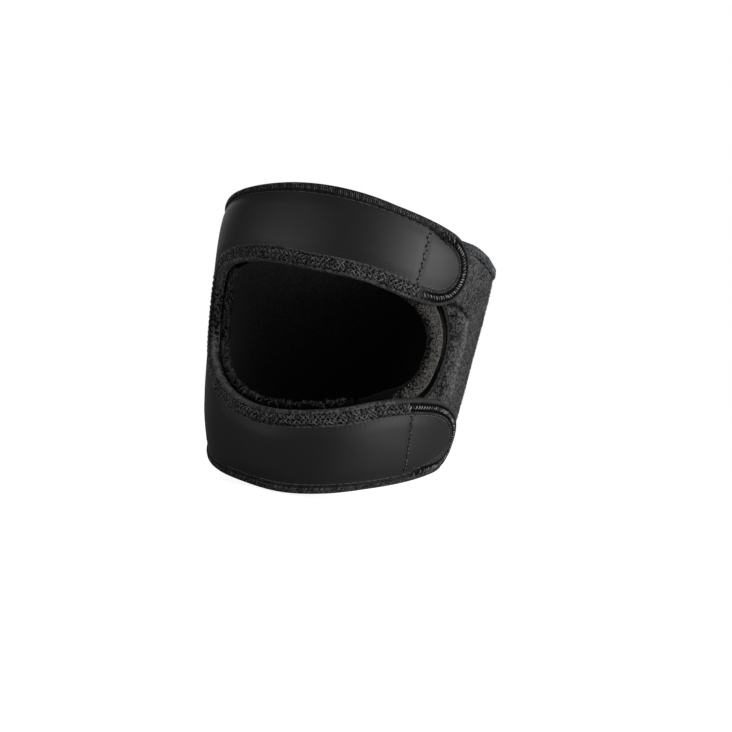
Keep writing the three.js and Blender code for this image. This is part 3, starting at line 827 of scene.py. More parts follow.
# %% Sweep of a tape
def tape(name, stations, width, layer, material, tone_of, slot, node_name):
    """Sweeps the folded section along stations. width is one number, or one for each station. tone_of gives
    the tape's tone for a place, an inset and a depth."""
    width = np.broadcast_to(np.asarray(width, float), (stations.count,))[:, None]
    insets = fold_section[:, 0] + fold_section[:, 1] * width
    flat, depth = stations(insets), np.broadcast_to(fold_section[:, 2], insets.shape)
    along = np.broadcast_to(stations.walked()[:, None], insets.shape)
    rings, tone = layer(flat, depth), tone_of(flat, insets, depth)
    thing = mesh_object(name, rings, ring_faces(rings), [cloth[material]], lay=place(along, insets), tone=tone)
    return finish_piece(thing, slot, node_name)


# %% Stations of the straps' tapes and of the opening's
tape_join = 0.6  # share of the inner run where a strap's tape meets the opening's tape


def strap_tape_stations(tab, parts):
    tip, blend, straight = parts
    return Stations(
        *backwards([blend, straight]),
        (tab.at, np.linspace(tab.start, 180, tip_steps * 2)),
        (tab.inner_run, tape_join * shares(blend_steps // 2)),
    )


def strap_tape_width(tab, stations):
    """The tape widens on its way to the tip, and from there it is as wide as the opening's."""
    base = stations(0.0)[:, 0]
    share = smoothstep(base[:, 0], tab.centre[0] - widen_start, tab.centre[0] + tab.length - widen_end)
    share = np.where(tab.side * (base[:, 1] - tab.centre[1]) < 0, 1, share)
    return lerp(edge_tape_width, opening_tape_width, share)


def opening_stations(join):
    return Stations(
        (upper.inner_run, lerp(join, 1, shares(blend_steps // 2))),
        (opening, lerp(upper_join, left_top, shares(strap_steps))),
        (opening, lerp(left_top, left_bottom, shares(side_steps))),
        (opening, lerp(left_bottom, lower_join + 360, shares(strap_steps))),
        (lower.inner_run, lerp(1, join, shares(blend_steps // 2))),
    )


upper_tape, lower_tape = strap_tape_stations(upper, upper_outer), strap_tape_stations(lower, lower_outer)
opening_tape = opening_stations(tape_join)
upper_width, lower_width = strap_tape_width(upper, upper_tape), strap_tape_width(lower, lower_tape)
straps = (("upper", upper, upper_tape, upper_width), ("lower", lower, lower_tape, lower_width))
print("tape lengths, mm:", [round(line.walked()[-1]) for line in (upper_tape, lower_tape, opening_tape)])

# %% Bindings of the straps and of the opening, with tones from 0, black, to 1, the lightest yarn
edge_tone, take_over_tone, take_over_length = 0.2, 0.85, 12
left_end, left_stretch = (-64, -56), (-52, -15)  # where painted shade turns the opening's fold dark, and where its tape grows paler


def strap_tone(tab):
    """Dark along the outer edge, and a soft grey fold beside black stitch rows round the tab. The rows set in
    slowly where this tape takes over from the opening's."""
    join_x = tab.inner_run(np.array(tape_join), np.array(0.0))[0]

    def tone(flat, inset, depth):
        inner_side = tab.side * (flat[..., 1] - tab.centre[1]) < 0
        on_tab = np.maximum(smoothstep(flat[..., 0], tab.centre[0] - 4, tab.centre[0] + 6), inner_side)
        piping = 0.95 * (1 - smoothstep(inset, 1.2, 1.8))
        rows = piping + 0.6 * smoothstep(inset, 5.8, 6.3) - 0.4 * band(inset, 2.0, 5.4)
        taking_over = inner_side * (1 - smoothstep(flat[..., 0], join_x, join_x + take_over_length))
        return lerp(lerp(edge_tone, rows, on_tab), take_over_tone, taking_over)

    return tone


def opening_tone(flat, inset, depth):
    """A soft grey fold. Towards the opening's left end the tape grows paler, and painted shade turns its fold
    black at the very end.
    """
    end, left = (1 - smoothstep(flat[..., 0], *limits) for limits in (left_end, left_stretch))
    fold = 0.5 * (1 - smoothstep(inset, 1.2, 2.0)) * (depth > edge_thickness / 3) * (1 - end)
    # Painted shade: the fold's very end is turned black, as the light from the right doesn't reach it.
    fold_painted_shade = 1.4 * end * (1 - smoothstep(inset, 1.8, 2.8))
    return 0.14 + 0.4 * left + fold + 0.35 * smoothstep(inset, 6.3, 6.9) - fold_painted_shade


for name, tab, stations, width in straps:
    tape(name + "_binding", stations, width, on_straps, "Binding tape", strap_tone(tab),
         "edge_tape", name + "_edge_tape")
tape("opening_binding", opening_tape, opening_tape_width, on_straps, "Opening tape", opening_tone,
     "opening_tape", "opening_tape")

# %% [markdown]
# ## The bridge and the wrap
# The bridge is the narrow right side of the opening: a soft bound band, thicker in its middle. The wrap
# starts beside it, with a raised pad, and goes once round the back of the knee. Both lie on the skin, under
# the straps. They could be sculpted, but the same rings and sheets keep their edges parallel to the
# opening's, and the pad is only a change of depth.

# %% Bridge
bridge_columns, bridge_around, bridge_power = 150, 44, 0.75
angles = lerp(bridge_upper_end, bridge_lower_end, shares(bridge_columns))[:, None]
dive = bridge_dive * smoothstep(angles, upper_ear, bridge_upper_end)
peek = bridge_peek * smoothstep(-angles, -bridge_peek_start, -lower_ear)
turn = np.linspace(0, 2 * np.pi, bridge_around, endpoint=False)[None, :]
across_share = 0.5 - 0.5 * fuller(np.cos(turn), bridge_power)
flat = opening(angles, gap + dive + lerp(-peek, bridge_width, across_share))
depth = edge_thickness * (0.5 + 0.5 * fuller(np.sin(turn), bridge_power)) + 0.06 * soft_noise(flat, 5, 5)
across = bridge_width * across_share
# The bridge's tone paints its light and shade: light is a painted highlight along the rim by the groove and
# makes the bridge paler away from the opening's edge, and shade is painted shade, darker towards the bridge's
# lower end and soonest by the groove.
light = 0.5 * band(across, 6.9, 8.2) + 0.5 * smoothstep(across, 0.5, 4) - 0.15
shade = 0.9 * smoothstep(-angles, -5, 35) + 2.2 * smoothstep(-angles + 1.5 * across, 30, 52)
rings = on_skin(flat, depth)
bridge_piece = mesh_object("bridge_band", rings, ring_faces(rings), [cloth["Bridge cloth"]], lay=flat,
                           tone=np.broadcast_to(light - shade, depth.shape))
finish_piece(bridge_piece, "opening_tape", "bridge", fill=0.7)

# %% Free end of the wrap
end_inset = gap + bridge_width + groove_width
end_steps, curve_steps = 12, 64
wrap_seam = seam_across + full_turn  # sewn shut, so no light comes through the side seam


def free_end(trim):
    def straight(angle, edge_of, side):
        def at(t, inset):
            x = opening(angle, end_inset)[..., 0] + inset
            start = place(x, edge_of(x) - side * np.maximum(inset, trim))
            return lerp(start, opening(angle, end_inset + inset), np.asarray(t)[..., None])

        return at

    def curve(angle, inset):
        return opening(angle, end_inset + inset)

    return Stations(
        (straight(upper_ear, top_edge, 1), shares(end_steps)),
        (curve, lerp(upper_ear, lower_ear, shares(curve_steps))),
        (straight(lower_ear, bottom_edge, -1), shares(end_steps)[::-1]),
    )


wrap_start = free_end(0)(cloth_inset)[:, 0]
pad_middle = (upper.at(180, 0)[1] + lower.at(180, 0)[1]) / 2
pad_end = opening(0, end_inset + side_pad["length"])[0]
print("side pad, mm across:", wrap_start[:, 0].min().round(1), "to", pad_end.round(1))

# %% Places of the wrap
wrap_columns, wrap_evening = 330, 0.3  # by this share of its length, the wrap's rows are even


def height_share(p):
    top, bottom = top_edge(p[..., 0]) - cloth_inset, bottom_edge(p[..., 0]) + cloth_inset
    return (p[..., 1] - bottom) / (top - bottom)


t = lerp(shares(wrap_columns), shares(wrap_columns) ** 1.6, 0.6)[:, None]
even = np.linspace(1, 0, len(wrap_start))[None, :]
x = lerp(wrap_start[None, :, 0], wrap_seam, t)
share = lerp(height_share(wrap_start)[None, :], even, smoothstep(t, 0, wrap_evening))
wrap_flat = place(x, lerp(bottom_edge(x) + cloth_inset, top_edge(x) - cloth_inset, share))
print("wrap, columns by rows:", wrap_flat.shape[:2])

# %% Side pad under the loop cloth
ridge_x, ridge_lean, ridge_width = 78.5, 0.1, 2.6
hollow_before, hollow_width = 9.5, 4.2
crease_y, crease_bow, crease_x, crease_width = 24.8, 0.022, 66, 1.1


def pad_parts(p):
    """Where the pad's outer ridge, its hollow and the crease round its upper end lie, each from 0 to 1."""
    x, y = p[..., 0], p[..., 1]
    ridge_line = ridge_x - ridge_lean * y
    crease_line = crease_y - crease_bow * (x - crease_x) ** 2
    below = 1 - smoothstep(y, crease_line - 4, crease_line - 1)
    ridge = bell(x - ridge_line, ridge_width) * below
    hollow = bell(x - ridge_line + hollow_before, hollow_width) * below
    crease = bell(y - crease_line, crease_width) * band(x, 55, 82, 2)
    return ridge, hollow, crease


def pad_share(p, from_end):
    """The pad is lower in its hollow beside the free end than along its outer ridge."""
    half, shoulder_length = side_pad["height"] / 2, side_pad["shoulder"]
    ridge, hollow, crease = pad_parts(p)
    body = (
        smoothstep(from_end, side_pad["start"], side_pad["start"] + shoulder_length)
        * (1 - smoothstep(p[..., 0], pad_end - 4, pad_end))
        * (1 - smoothstep(np.abs(p[..., 1] - pad_middle), half - shoulder_length, half))
    )
    return body * (0.7 + 0.7 * ridge - 0.45 * hollow) - 0.6 * crease


# %% Wrap
raised = side_pad["rise"] * pad_share(wrap_flat, wrap_flat[..., 0] - wrap_start[None, :, 0])
print(f"the pad lifts the loop cloth by up to {raised.max():.1f} mm")
ruffle = 0.05 * soft_noise(wrap_flat, 7, 11) + 0.25 * soft_noise(wrap_flat, 38, 12)
ridge, hollow, crease = pad_parts(wrap_flat)
# Painted light on the loop cloth: a painted highlight along the pad's ridge, and painted shade in its hollow
# and in the crease round its upper end, over a random tone of the yarn.
wrap_painted_light_and_tone = 0.45 + 0.9 * ridge - 0.7 * hollow - 2.0 * crease + 0.12 * soft_noise(wrap_flat, 22, 13)
wrap_piece = foam_sheet("loop_wrap", wrap_flat, raised + ruffle, on_skin, cloth["Loop cloth"], wrap_painted_light_and_tone)
finish_piece(wrap_piece, "loop_cloth", "wrap", fill=0.5)

# %% Bindings of the wrap
wrap_edge_steps = 300


def wrap_edge(edge_of, side, angle):
    across = np.linspace(opening(angle, end_inset)[0], wrap_seam, wrap_edge_steps)
    return Stations((lambda x, inset: place(x, edge_of(x) - side * inset), across))


def free_end_tone(flat, inset, depth):
    """Black, with one light line along the rim, and painted shade that blackens the wall facing the groove."""
    return 0.75 * band(inset, 0.3, 0.8, 0.2) * (depth > edge_thickness - 1) - 0.4 * (inset < 0.3) + 0.08


def wrap_edge_tone(flat, inset, depth):
    """Grey in the middle of the tape, and dark along both its borders: the fold is dark, and the sewn border is
    painted shade where the tape meets the loop cloth.
    """
    return 0.6 * band(inset, 0.9, wrap_tape_width - 0.6) - 0.1


wrap_top, wrap_bottom = wrap_edge(top_edge, 1, upper_ear), wrap_edge(bottom_edge, -1, lower_ear)
wrap_edges = (("wrap_top", wrap_top), ("wrap_bottom", wrap_bottom))
for name, stations in wrap_edges:
    tape(name + "_binding", stations, wrap_tape_width, on_skin, "Wrap tape", wrap_edge_tone,
         "edge_tape", name + "_tape")
wrap_end = free_end(wrap_tape_width + gap)
tape("wrap_end_binding", wrap_end, end_tape_width, on_skin, "Binding tape", free_end_tone,
     "edge_tape", "wrap_end_tape")

# %% [markdown]
# ## The kneecap pad and the hook patches
# A soft roll lies under the front cloth along the opening's left end and its lower edge. Only its rim shows,
# as a dark fuzzy line inside the opening. A bent cylinder would do, but rings on the pattern follow the
# opening, and their ends can be rounded off. The hook patches lie hidden under the strap ends, so the CAD's
# own plates stay and only get their finish.

# %% Kneecap pad
pad_columns, pad_around, roll_lift = 170, 30, 1.6
roll_half = kneecap_pad["thickness"] / 2


def on_roll(angles, turn, fullness=1.0):
    """Place and depth on the roll: the angle runs along it, and the turn goes round its section."""
    peek = kneecap_pad["peek"] * smoothstep(angles, 180, 180 + kneecap_pad["fade"])
    flat = opening(angles, kneecap_pad["width"] * (0.5 - 0.5 * np.cos(turn)) - peek)
    lift = roll_lift * peek / kneecap_pad["peek"] * smoothstep(np.cos(turn), 0.2, 1)
    return flat, -gap - roll_half + roll_half * fullness * np.sin(turn) + lift


t = shares(pad_columns)
ends = np.minimum(1, np.minimum(t * 6.5, (1 - t) * 30)[:, None]) ** 0.5
turn = np.linspace(0, 2 * np.pi, pad_around, endpoint=False)[None, :]
flat, depth = on_roll(lerp(kneecap_pad["start"], kneecap_pad["end"], t)[:, None], turn, 0.3 + 0.7 * ends)
rings = on_straps(flat, depth + 0.12 * soft_noise(flat, 4, 21))
roll_piece = mesh_object("kneecap_roll", rings, ring_faces(rings), [cloth["Fuzzy roll"]], lay=flat)
finish_piece(roll_piece, "lining", "kneecap_pad", fill=0.8)

# %% Hook patches
for name in ("upper_hook", "lower_hook"):
    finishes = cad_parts[name].data.materials
    finishes.clear()
    finishes.append(cloth["Hook tape"])
    print(name, "is finished in", finishes[0].name)

# %% [markdown]
# ## Stitches
# Ribs lie side by side on the edge tapes. Cover stitch crosses the opening's tape in diamonds between three
# rows of needle holes. Round each tab a row of thick beads lies between two dark rows, and a zigzag seam
# holds the hook patch behind it. They could be a bump pattern, but real threads catch the light at the edge
# and in close views. No two stitches are quite the same, so each has a small shift and a tone of its own.


# %% Threads that lie on a surface
def face_depth(inset, width):
    """Depth of a tape's outer face at an inset, from the same section that sweeps it."""
    t = np.clip((inset - shoulder) / (width - shoulder), 0, 1)
    rounded = shoulder - np.sqrt(np.maximum(0, shoulder**2 - np.maximum(0, shoulder - inset) ** 2))
    return edge_thickness - rounded + tape_face(t)


def widths(stations, width, marks):
    """The tape's width at each mark, as a column."""
    each = np.broadcast_to(np.asarray(width, float), (stations.count,))
    return np.interp(marks, stations.walked(), each)[:, None]


def laid_threads(stations, marks, start, end, shift, depth_of, layer, radius, arch=0.25, points=6, loose=0.0):
    """Paths and normals of short threads from one inset to another, each rising a little between its two
    holes. shift is how far along the edge a thread starts and ends from its mark."""
    t = np.linspace(0, 1, points)

    def scattered(value):
        column = np.broadcast_to(np.asarray(value, float).ravel(), (len(marks),))[:, None]
        return column + rng.uniform(-loose, loose, column.shape)

    inset = lerp(scattered(start), scattered(end), t)
    flat = stations.threads(marks, inset, lerp(scattered(shift[0]), scattered(shift[1]), t))
    depth = depth_of(inset) + (arch + radius) * np.sin(np.pi * t) ** 0.6 - 0.3 * radius
    return layer(flat, depth), normal_at(flat)


def joined(laid):
    """Paths and normals of several rows of threads as one row."""
    return [np.concatenate(parts) for parts in zip(*laid)]


# %% Needle holes
hole_sides, hole_rise, hole_sink = 8, 0.06, 0.2


def holes(name, flat, depth, layer, radius, slot):
    """Small dark lens-shaped discs where a needle went through, no two of one size."""
    points, ups = layer(flat, depth), normal_at(flat)
    side = unit(np.cross(ups, np.array([0.3, 0.2, 0.93])))
    other = np.cross(ups, side)
    angle = (2 * np.pi * np.arange(hole_sides) / hole_sides)[None, :, None]
    size = radius * rng.uniform(0.75, 1.2, (len(points), 1, 1))
    rim = (np.cos(angle) * side[:, None] + np.sin(angle) * other[:, None]) * size
    top, bottom = points + ups * hole_rise, points - ups * hole_sink
    rings = np.concatenate([top[:, None], points[:, None] + rim, bottom[:, None]], 1)
    base = np.arange(len(points))[:, None] * (hole_sides + 2)
    faces = []
    for k in range(hole_sides):
        a, b = base + 1 + k, base + 1 + (k + 1) % hole_sides
        faces += np.concatenate([base, a, b], 1).tolist()
        faces += np.concatenate([base + hole_sides + 1, b, a], 1).tolist()
    return finish_piece(mesh_object(name, rings, faces, [cloth["Needle hole"]]), slot)


# %% Ribs on the edge tapes
rib_radius, rib_pitch, rib_lean = 0.19, 0.86, 0.25
strap_rib_rows, wrap_rib_rows = ((0.8, 1.6), (1.5, 2.9)), ((0.8, 1.8), (1.7, 2.9), (2.8, 4.1))


def ribs(name, stations, layer, width, rows, end=0.0):
    """Rows of ribs. Each row is an inset near the fold and one nearer the cloth."""
    laid = []
    for number, (near, far) in enumerate(rows):
        marks = stations.marks(rib_pitch, end=end) + rib_pitch / 2 * (number % 2)
        wide = widths(stations, width, marks)
        laid.append(laid_threads(
            stations, marks, near, far, (-rib_lean, rib_lean), lambda inset: face_depth(inset, wide), layer,
            rib_radius, arch=0.08, points=5, loose=0.12,
        ))
    paths, ups = joined(laid)
    tone = rng.random(len(paths)) ** 1.5
    return thread_mesh(name, paths, ups, rib_radius, cloth["Rib thread"], "edge_tape", tone=tone)


ribs("upper_ribs", upper_tape, on_straps, upper_width, strap_rib_rows, end=upper.walk + 4)
ribs("lower_ribs", lower_tape, on_straps, lower_width, strap_rib_rows, end=lower.walk)
for name, stations in wrap_edges:
    ribs(name + "_ribs", stations, on_skin, wrap_tape_width, wrap_rib_rows)

# %% Thin light threads where a tape meets the cloth, whose light grey is a painted highlight of the tape's edge
line_radius, line_space, line_offset = 0.18, 0.1, 0.1


def edge_line(name, stations, width, slot, dash=3.2):
    marks = stations.marks(dash, 0.5, 0.5)
    inset = widths(stations, width, marks) + line_offset
    half = (dash - line_space) / 2
    paths, ups = laid_threads(
        stations, marks, inset, inset, (-half, half), lambda i: 0 * i + cloth_top + line_radius, on_straps,
        line_radius, arch=0.02, points=5, loose=0.04,
    )
    # A stitched line along the tape's edge, whose light grey paints the highlight that the tape's raised edge
    # catches.
    return thread_mesh(name, paths, ups, line_radius, cloth["Edge line thread"], slot)


for name, tab, stations, width in straps:
    edge_line(name + "_line", stations, width, "edge_tape")
edge_line("opening_line", opening_tape, opening_tape_width, "opening_tape", dash=2.6)

# %% Cover stitch along the opening
cover_pitch, cover_rows, cover_radius, cover_hole = 2.0, (1.9, 4.0, 6.1), 0.27, 0.5
cover_line = opening_stations(tape_join - 0.2)  # the stitch runs on a little past the end of its tape
marks = cover_line.marks(cover_pitch)
laid = []
for near, far in zip(cover_rows, cover_rows[1:]):
    offset = 0 if near == cover_rows[0] else 0.5
    for lean in (0.5, -0.5):
        shift = (-lean * cover_pitch + offset, lean * cover_pitch + offset)
        laid.append(laid_threads(
            cover_line, marks, near, far, shift, lambda inset: face_depth(inset, opening_tape_width), on_straps,
            cover_radius, loose=0.36,
        ))
paths, ups = joined(laid)
across = cover_line.threads(marks, [0.0], 0.0)[:, 0, 0]
inner_row = np.tile(lerp(0.1, 1, smoothstep(across, *left_end)), 2)  # painted shade, dark on the fold's painted dark end
tone = rng.random(len(paths)) ** 1.3 * np.r_[inner_row, np.ones(len(paths) - len(inner_row))]
thread_mesh("opening_cover_stitch", paths, ups, cover_radius, cloth["Cover stitch thread"], "opening_tape",
            tone=tone)
flats, depths = [], []
for number, row in enumerate(cover_rows):
    around = marks + cover_pitch / 2 * (number % 2 == 0) + rng.uniform(-0.25, 0.25, len(marks))
    rows = row + rng.uniform(-0.2, 0.2, (len(marks), 1))
    flats.append(cover_line.threads(around, rows, 0.0)[:, 0])
    depths.append(face_depth(rows[:, 0], opening_tape_width) + 0.05)
holes("opening_needle_holes", np.concatenate(flats), np.concatenate(depths), on_straps, cover_hole,
      "opening_tape")

# %% Beads round the tabs
bead_pitch, bead_radius, bead_lean, bead_start, bead_length = 1.5, 0.31, 0.45, 3.0, 1.5
bead_hole, bead_hole_rows = 0.42, (2.3, 5.1)
inner_row_radius, inner_row_start, inner_row_end = 0.2, 5.9, 6.4
for name, tab, stations, width in straps:
    length = stations.walked()[-1]
    marks = stations.marks(bead_pitch, start=length - tab.walk - 24, end=0.4)
    where = stations.threads(marks, [0.0], 0.0)[:, 0]
    outer_side = tab.side * (where[:, 1] - tab.centre[1]) > 0
    setting_in = smoothstep(where[:, 0], tab.centre[0] - 6, tab.centre[0] + 12)
    sure = np.where(outer_side, setting_in, smoothstep(length - marks, -1, 6))
    kept = rng.random(len(marks)) < sure
    marks, sure = marks[kept], sure[kept]
    wide = widths(stations, width, marks)
    near = bead_start + rng.uniform(-0.15, 0.15, len(marks))
    paths, ups = laid_threads(
        stations, marks, near, near + bead_length, (-bead_lean, bead_lean), lambda i: face_depth(i, wide),
        on_straps, bead_radius, arch=0.12, points=7, loose=0.15,
    )
    tone = rng.random(len(marks)) ** 1.2 * lerp(0.2, 1, sure)
    thread_mesh(name + "_tab_beads", paths, ups, bead_radius, cloth["Tab stitch thread"], "edge_tape",
                sides=7, flat=0.75, tone=tone)
    flats = [stations.threads(marks + bead_pitch / 2, [row], 0.0)[:, 0] for row in bead_hole_rows]
    depths = [face_depth(row, opening_tape_width) + 0.03 for row in bead_hole_rows]
    holes(name + "_tab_needle_holes", np.concatenate(flats), np.repeat(depths, len(marks)), on_straps,
          bead_hole, "edge_tape")
    marks = marks + bead_pitch / 4
    wide = widths(stations, width, marks)
    paths, ups = laid_threads(
        stations, marks, inner_row_start, inner_row_end, (-bead_lean, bead_lean), lambda i: face_depth(i, wide),
        on_straps, inner_row_radius, arch=0.08, points=5, loose=0.1,
    )
    thread_mesh(name + "_tab_inner_row", paths, ups, inner_row_radius, cloth["Cover stitch thread"],
                "edge_tape")


# %% Zigzag seams
def zigzag(name, line, half, pitch, layer, depth_of, radius=0.24, hole=0.62):
    """A thread that crosses a straight line from side to side, with a hole at every turn."""
    length = np.linalg.norm(line[1] - line[0])
    way = (line[1] - line[0]) / length
    across = np.array([-way[1], way[0]])
    count = int(length / pitch * 2)
    turns = line[0] + shares(count)[:, None] * (line[1] - line[0])
    side = np.where(np.arange(count + 1) % 2, 1, -1)[:, None] * half * rng.uniform(0.75, 1.15, (count + 1, 1))
    turns = turns + side * across + rng.uniform(-0.1, 0.1, turns.shape)
    t = np.linspace(0.08, 0.92, 6)
    flat = lerp(turns[:-1, None], turns[1:, None], t[None, :, None])
    paths = layer(flat, depth_of(flat) + 0.05 + 0.16 * np.sin(np.pi * t) ** 0.7)
    thread_mesh(name, paths, normal_at(flat), radius, cloth["Cover stitch thread"], "smooth_cloth")
    holes(name + "_holes", turns, depth_of(turns) + 0.04, layer, hole, "smooth_cloth")


def seam_depth(line):
    """Depth of the front's face along a hook seam, from how far each place is from the tapes."""
    length = np.linalg.norm(line[1] - line[0])
    way = (line[1] - line[0]) / length
    beside = opening_tape_width - 0.3

    def depth_of(p):
        along = (p - line[0]) @ way
        return cloth_top + face_swell(p, along + beside, length - along + beside)

    return depth_of


for name, line in (("upper_hook_seam", upper_seam), ("lower_hook_seam", lower_seam)):
    zigzag(name, line, 0.4, 3.4, on_straps, seam_depth(line))
seam_bottom, seam_top = bottom_edge(seam_across) + wrap_tape_width, top_edge(seam_across) - wrap_tape_width
side_line = np.array([[seam_across, float(seam_bottom)], [seam_across, float(seam_top)]])
zigzag("side_seam", side_line, 1.5, 2.4, on_skin, lambda p: cloth_top + 0 * p[..., 0], radius=0.2, hole=0.4)

# %% [markdown]
# ## Loose fibres
# Loop cloth and brushed tape carry a fine fuzz of single fibres. A hair system would do it too, but it
# doesn't export, so the fibres are the same thread mesh, only finer and with three sides.


# %% Fibres and where they grow
def fibres(name, flat, depth, layer, slot, length, radius, lift, finish="Loose fibre", tone_power=2.0):
    """Short curls that start and end on the surface, in all directions."""
    count, t = len(flat), np.linspace(0, 1, 4)
    heading, reach = rng.random(count) * 2 * np.pi, length * rng.uniform(0.6, 1.3, count)
    way = place(np.cos(heading), np.sin(heading))
    aside = place(-way[:, 1], way[:, 0])[:, None] * np.sin(np.pi * t)[None, :, None]
    curl = 0.25 * rng.uniform(-1, 1, count)[:, None, None] * aside
    path = flat[:, None] + (way[:, None] * (t - 0.5)[None, :, None] + curl) * reach[:, None, None]
    rise = lift * rng.uniform(0.4, 1.0, count)[:, None] * np.sin(np.pi * t)
    paths = layer(path, np.asarray(depth)[:, None] + rise)
    tone = rng.random(count) ** tone_power
    return thread_mesh(name, paths, normal_at(path), radius, cloth[finish], slot, sides=3, tone=tone)


def scatter(grid, depth, count, keep=None):
    """Places spread over a grid of places, with the depth of the surface there. keep is the stretch of the
    grid's columns that gets them, as shares."""
    i, j = rng.random(count) * (grid.shape[0] - 1.001), rng.random(count) * (grid.shape[1] - 1.001)
    if keep is not None:
        i = rng.uniform(keep[0], keep[1], count) * (grid.shape[0] - 1.001)
    a, b = i.astype(int), j.astype(int)

    def mix(field):
        u, v = ((part[:, None] if field.ndim == 3 else part) for part in (i - a, j - b))
        return lerp(lerp(field[a, b], field[a, b + 1], v), lerp(field[a + 1, b], field[a + 1, b + 1], v), u)

    return mix(grid), mix(depth)


# %% Fibres on the wrap, the bridge and the roll
wrap_fibres, bridge_fibres, roll_fibres, fibre_margin = 5500, 1900, 1300, 0.5
for name, keep in (("wrap_fibres_side", (0, 0.3)), ("wrap_fibres_back", (0.3, 1))):
    flat, depth = scatter(wrap_flat, cloth_top + raised + ruffle, wrap_fibres, keep)
    below_top = flat[:, 1] < top_edge(flat[:, 0]) - wrap_tape_width - fibre_margin
    clear = below_top & (flat[:, 1] > bottom_edge(flat[:, 0]) + wrap_tape_width + fibre_margin)
    fibres(name, flat[clear], depth[clear], on_skin, "loop_cloth", length=1.3, radius=0.055, lift=0.35)

angles = rng.uniform(bridge_lower_end, bridge_upper_end, bridge_fibres)
inset = 7.2 * rng.random(bridge_fibres) ** 0.6
flat = opening(angles, gap + inset)
bulge = (1 - np.abs(1 - 2 * inset / bridge_width) ** (2 / bridge_power)) ** (bridge_power / 2)
clear = (angles < upper_ear) & (angles > -46 + 22 * rng.random(bridge_fibres))
depth = edge_thickness * (0.5 + 0.5 * bulge) - 0.05
fibres("bridge_fibres", flat[clear], depth[clear], on_skin, "opening_tape", length=0.9, radius=0.12, lift=0.3,
       finish="Bright fibre", tone_power=3.5)

angles, turn = 135 + 163 * rng.random(roll_fibres) ** 1.7, rng.uniform(-0.9, 0.9, roll_fibres)
flat, depth = on_roll(angles, turn)
fibres("roll_fibres", flat, depth, on_straps, "lining", length=2.6, radius=0.08, lift=0.7, tone_power=3.5)

# %% [markdown]
# ## Floor, light and camera
# The floor and the sky are one white, so no horizon shows. The camera sees a floor that shines as brightly
# as the sky behind it and darkens only where the object shades it. For every other ray the floor is a dull
# grey, because a white floor would fill the black cloth with light from below. A wide soft sun from the
# right gives the faces their gradient. Low softboxes on both sides lift the side pad and the left end, and
# one behind shows the back of the wrap from that side. The camera stands where the photograph's did: 15
# degrees to the right of the front, level with the kneecap, and turned by 10 degrees about its own axis.


# %% Floor
def shader_mix(tree, other_rays, camera_rays, output):
    """Joins two shaders: one for what the camera sees, and one for all other rays."""
    ray, mix = node(tree, "ShaderNodeLightPath"), node(tree, "ShaderNodeMixShader")
    tree.links.new(ray.outputs["Is Camera Ray"], mix.inputs[0])
    tree.links.new(other_rays, mix.inputs[1])
    tree.links.new(camera_rays, mix.inputs[2])
    tree.links.new(mix.outputs[0], output.inputs["Surface"])


floor_material = bpy.data.materials.new("Pale floor")
floor_material.use_nodes = True
tree = floor_material.node_tree
dull = tree.nodes["Principled BSDF"]
pale = node(tree, "ShaderNodeBsdfPrincipled")
for shader, value in ((dull, 0.25), (pale, 0.86)):
    shader.inputs["Base Color"].default_value = grey(value)
    shader.inputs["Roughness"].default_value = 0.9
pale.inputs["Emission Color"].default_value = (1, 1, 1, 1)
pale.inputs["Emission Strength"].default_value = 0.88
shader_mix(tree, dull.outputs[0], pale.outputs[0], tree.nodes["Material Output"])
lowest, floor_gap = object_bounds()[0].z, 0.0005
bpy.ops.mesh.primitive_circle_add(vertices=96, radius=40, fill_type="NGON", location=(0, 0, lowest - floor_gap))
floor = bpy.context.object
floor.name = "floor"
floor.data.materials.append(floor_material)
print(f"floor at {lowest / MM:.1f} mm")

# %% Light
world = bpy.data.worlds.new("Pale studio")
bpy.context.scene.world = world
world.use_nodes = True
tree = world.node_tree
tree.nodes.clear()
seen = node(tree, "ShaderNodeBackground", in_Color=(1, 1, 1, 1), in_Strength=1.0)
lit = node(tree, "ShaderNodeBackground", in_Color=(1, 1, 1, 1), in_Strength=0.07)
shader_mix(tree, lit.outputs[0], seen.outputs[0], node(tree, "ShaderNodeOutputWorld"))


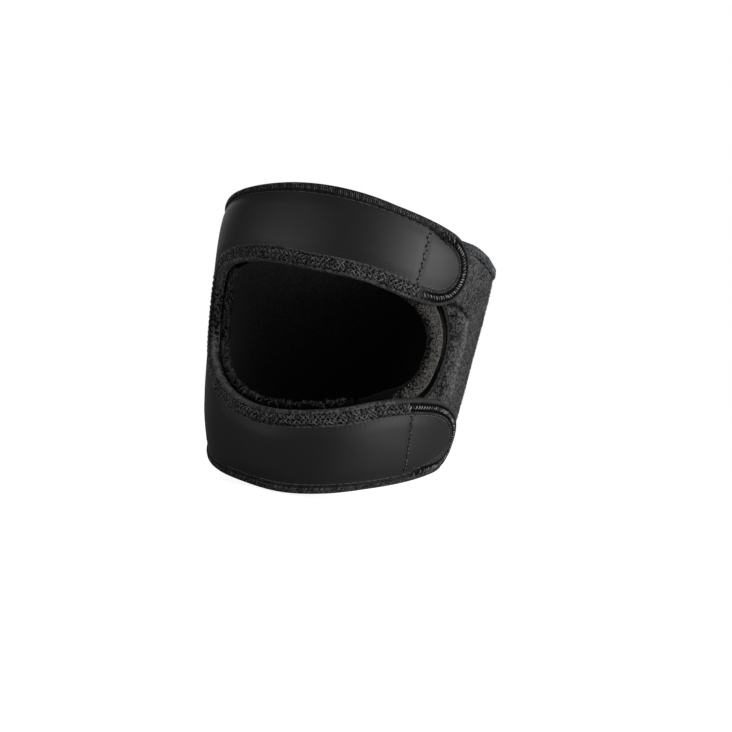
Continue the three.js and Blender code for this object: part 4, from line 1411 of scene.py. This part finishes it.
def lamp(name, kind, energy, stand, **settings):
    """A light that stands at a place in metres and points at the middle of the knee."""
    light = bpy.data.lights.new(name, kind)
    light.energy = energy
    for key, value in settings.items():
        setattr(light, key, value)
    thing = bpy.data.objects.new(name, light)
    bpy.context.scene.collection.objects.link(thing)
    thing.location = stand
    thing.rotation_euler = (-Vector(stand)).to_track_quat("-Z", "Y").to_euler()


lamp("soft_sun", "SUN", 0.78, (1.49, -0.43, 0.5), angle=math.radians(50))
for name, energy, stand, wide, high in (
    ("right_softbox", 3.0, (0.75, -0.3, 0.1), 0.5, 0.35),
    ("left_softbox", 2.2, (-0.95, -0.8, 0.06), 0.8, 0.26),
    ("back_softbox", 3.0, (-0.6, 1.0, 0.5), 0.9, 0.9),
):
    lamp(name, "AREA", energy, stand, shape="RECTANGLE", size=wide, size_y=high)
print("lights:", len(bpy.data.lights))

# %% Camera
camera_turn, camera_roll, camera_distance = math.radians(15), math.radians(10), 1.25
picture_size, focal_length, picture_middle = 732, 2648, (342.3, 340)  # in pixels
back = Vector((math.sin(camera_turn), -math.cos(camera_turn), 0))
level_right, level_up = Vector((math.cos(camera_turn), math.sin(camera_turn), 0)), Vector((0, 0, 1))
right = level_right * math.cos(camera_roll) + level_up * math.sin(camera_roll)
up = level_up * math.cos(camera_roll) - level_right * math.sin(camera_roll)
camera = bpy.data.cameras.new("camera")
camera.sensor_width, camera.lens = 36, focal_length / picture_size * 36
camera.shift_x = (picture_size / 2 - picture_middle[0]) / picture_size
camera.shift_y = -(picture_size / 2 - picture_middle[1]) / picture_size
camera.clip_start, camera.clip_end = 0.01, 100
eye = bpy.data.objects.new("camera", camera)
bpy.context.scene.collection.objects.link(eye)
turned = Matrix((right, up, back)).transposed().to_4x4()
eye.matrix_world = Matrix.Translation(back * camera_distance) @ turned
bpy.context.scene.camera = eye
bpy.context.scene.view_settings.view_transform = "Standard"
print("camera at", [round(v, 3) for v in eye.matrix_world.translation])

# %% Triangles in the largest piece and in all
triangles = [triangles_of(thing) for thing in bpy.data.objects if thing.type == "MESH"]
print("most triangles in a piece:", max(triangles), "in all:", sum(triangles))
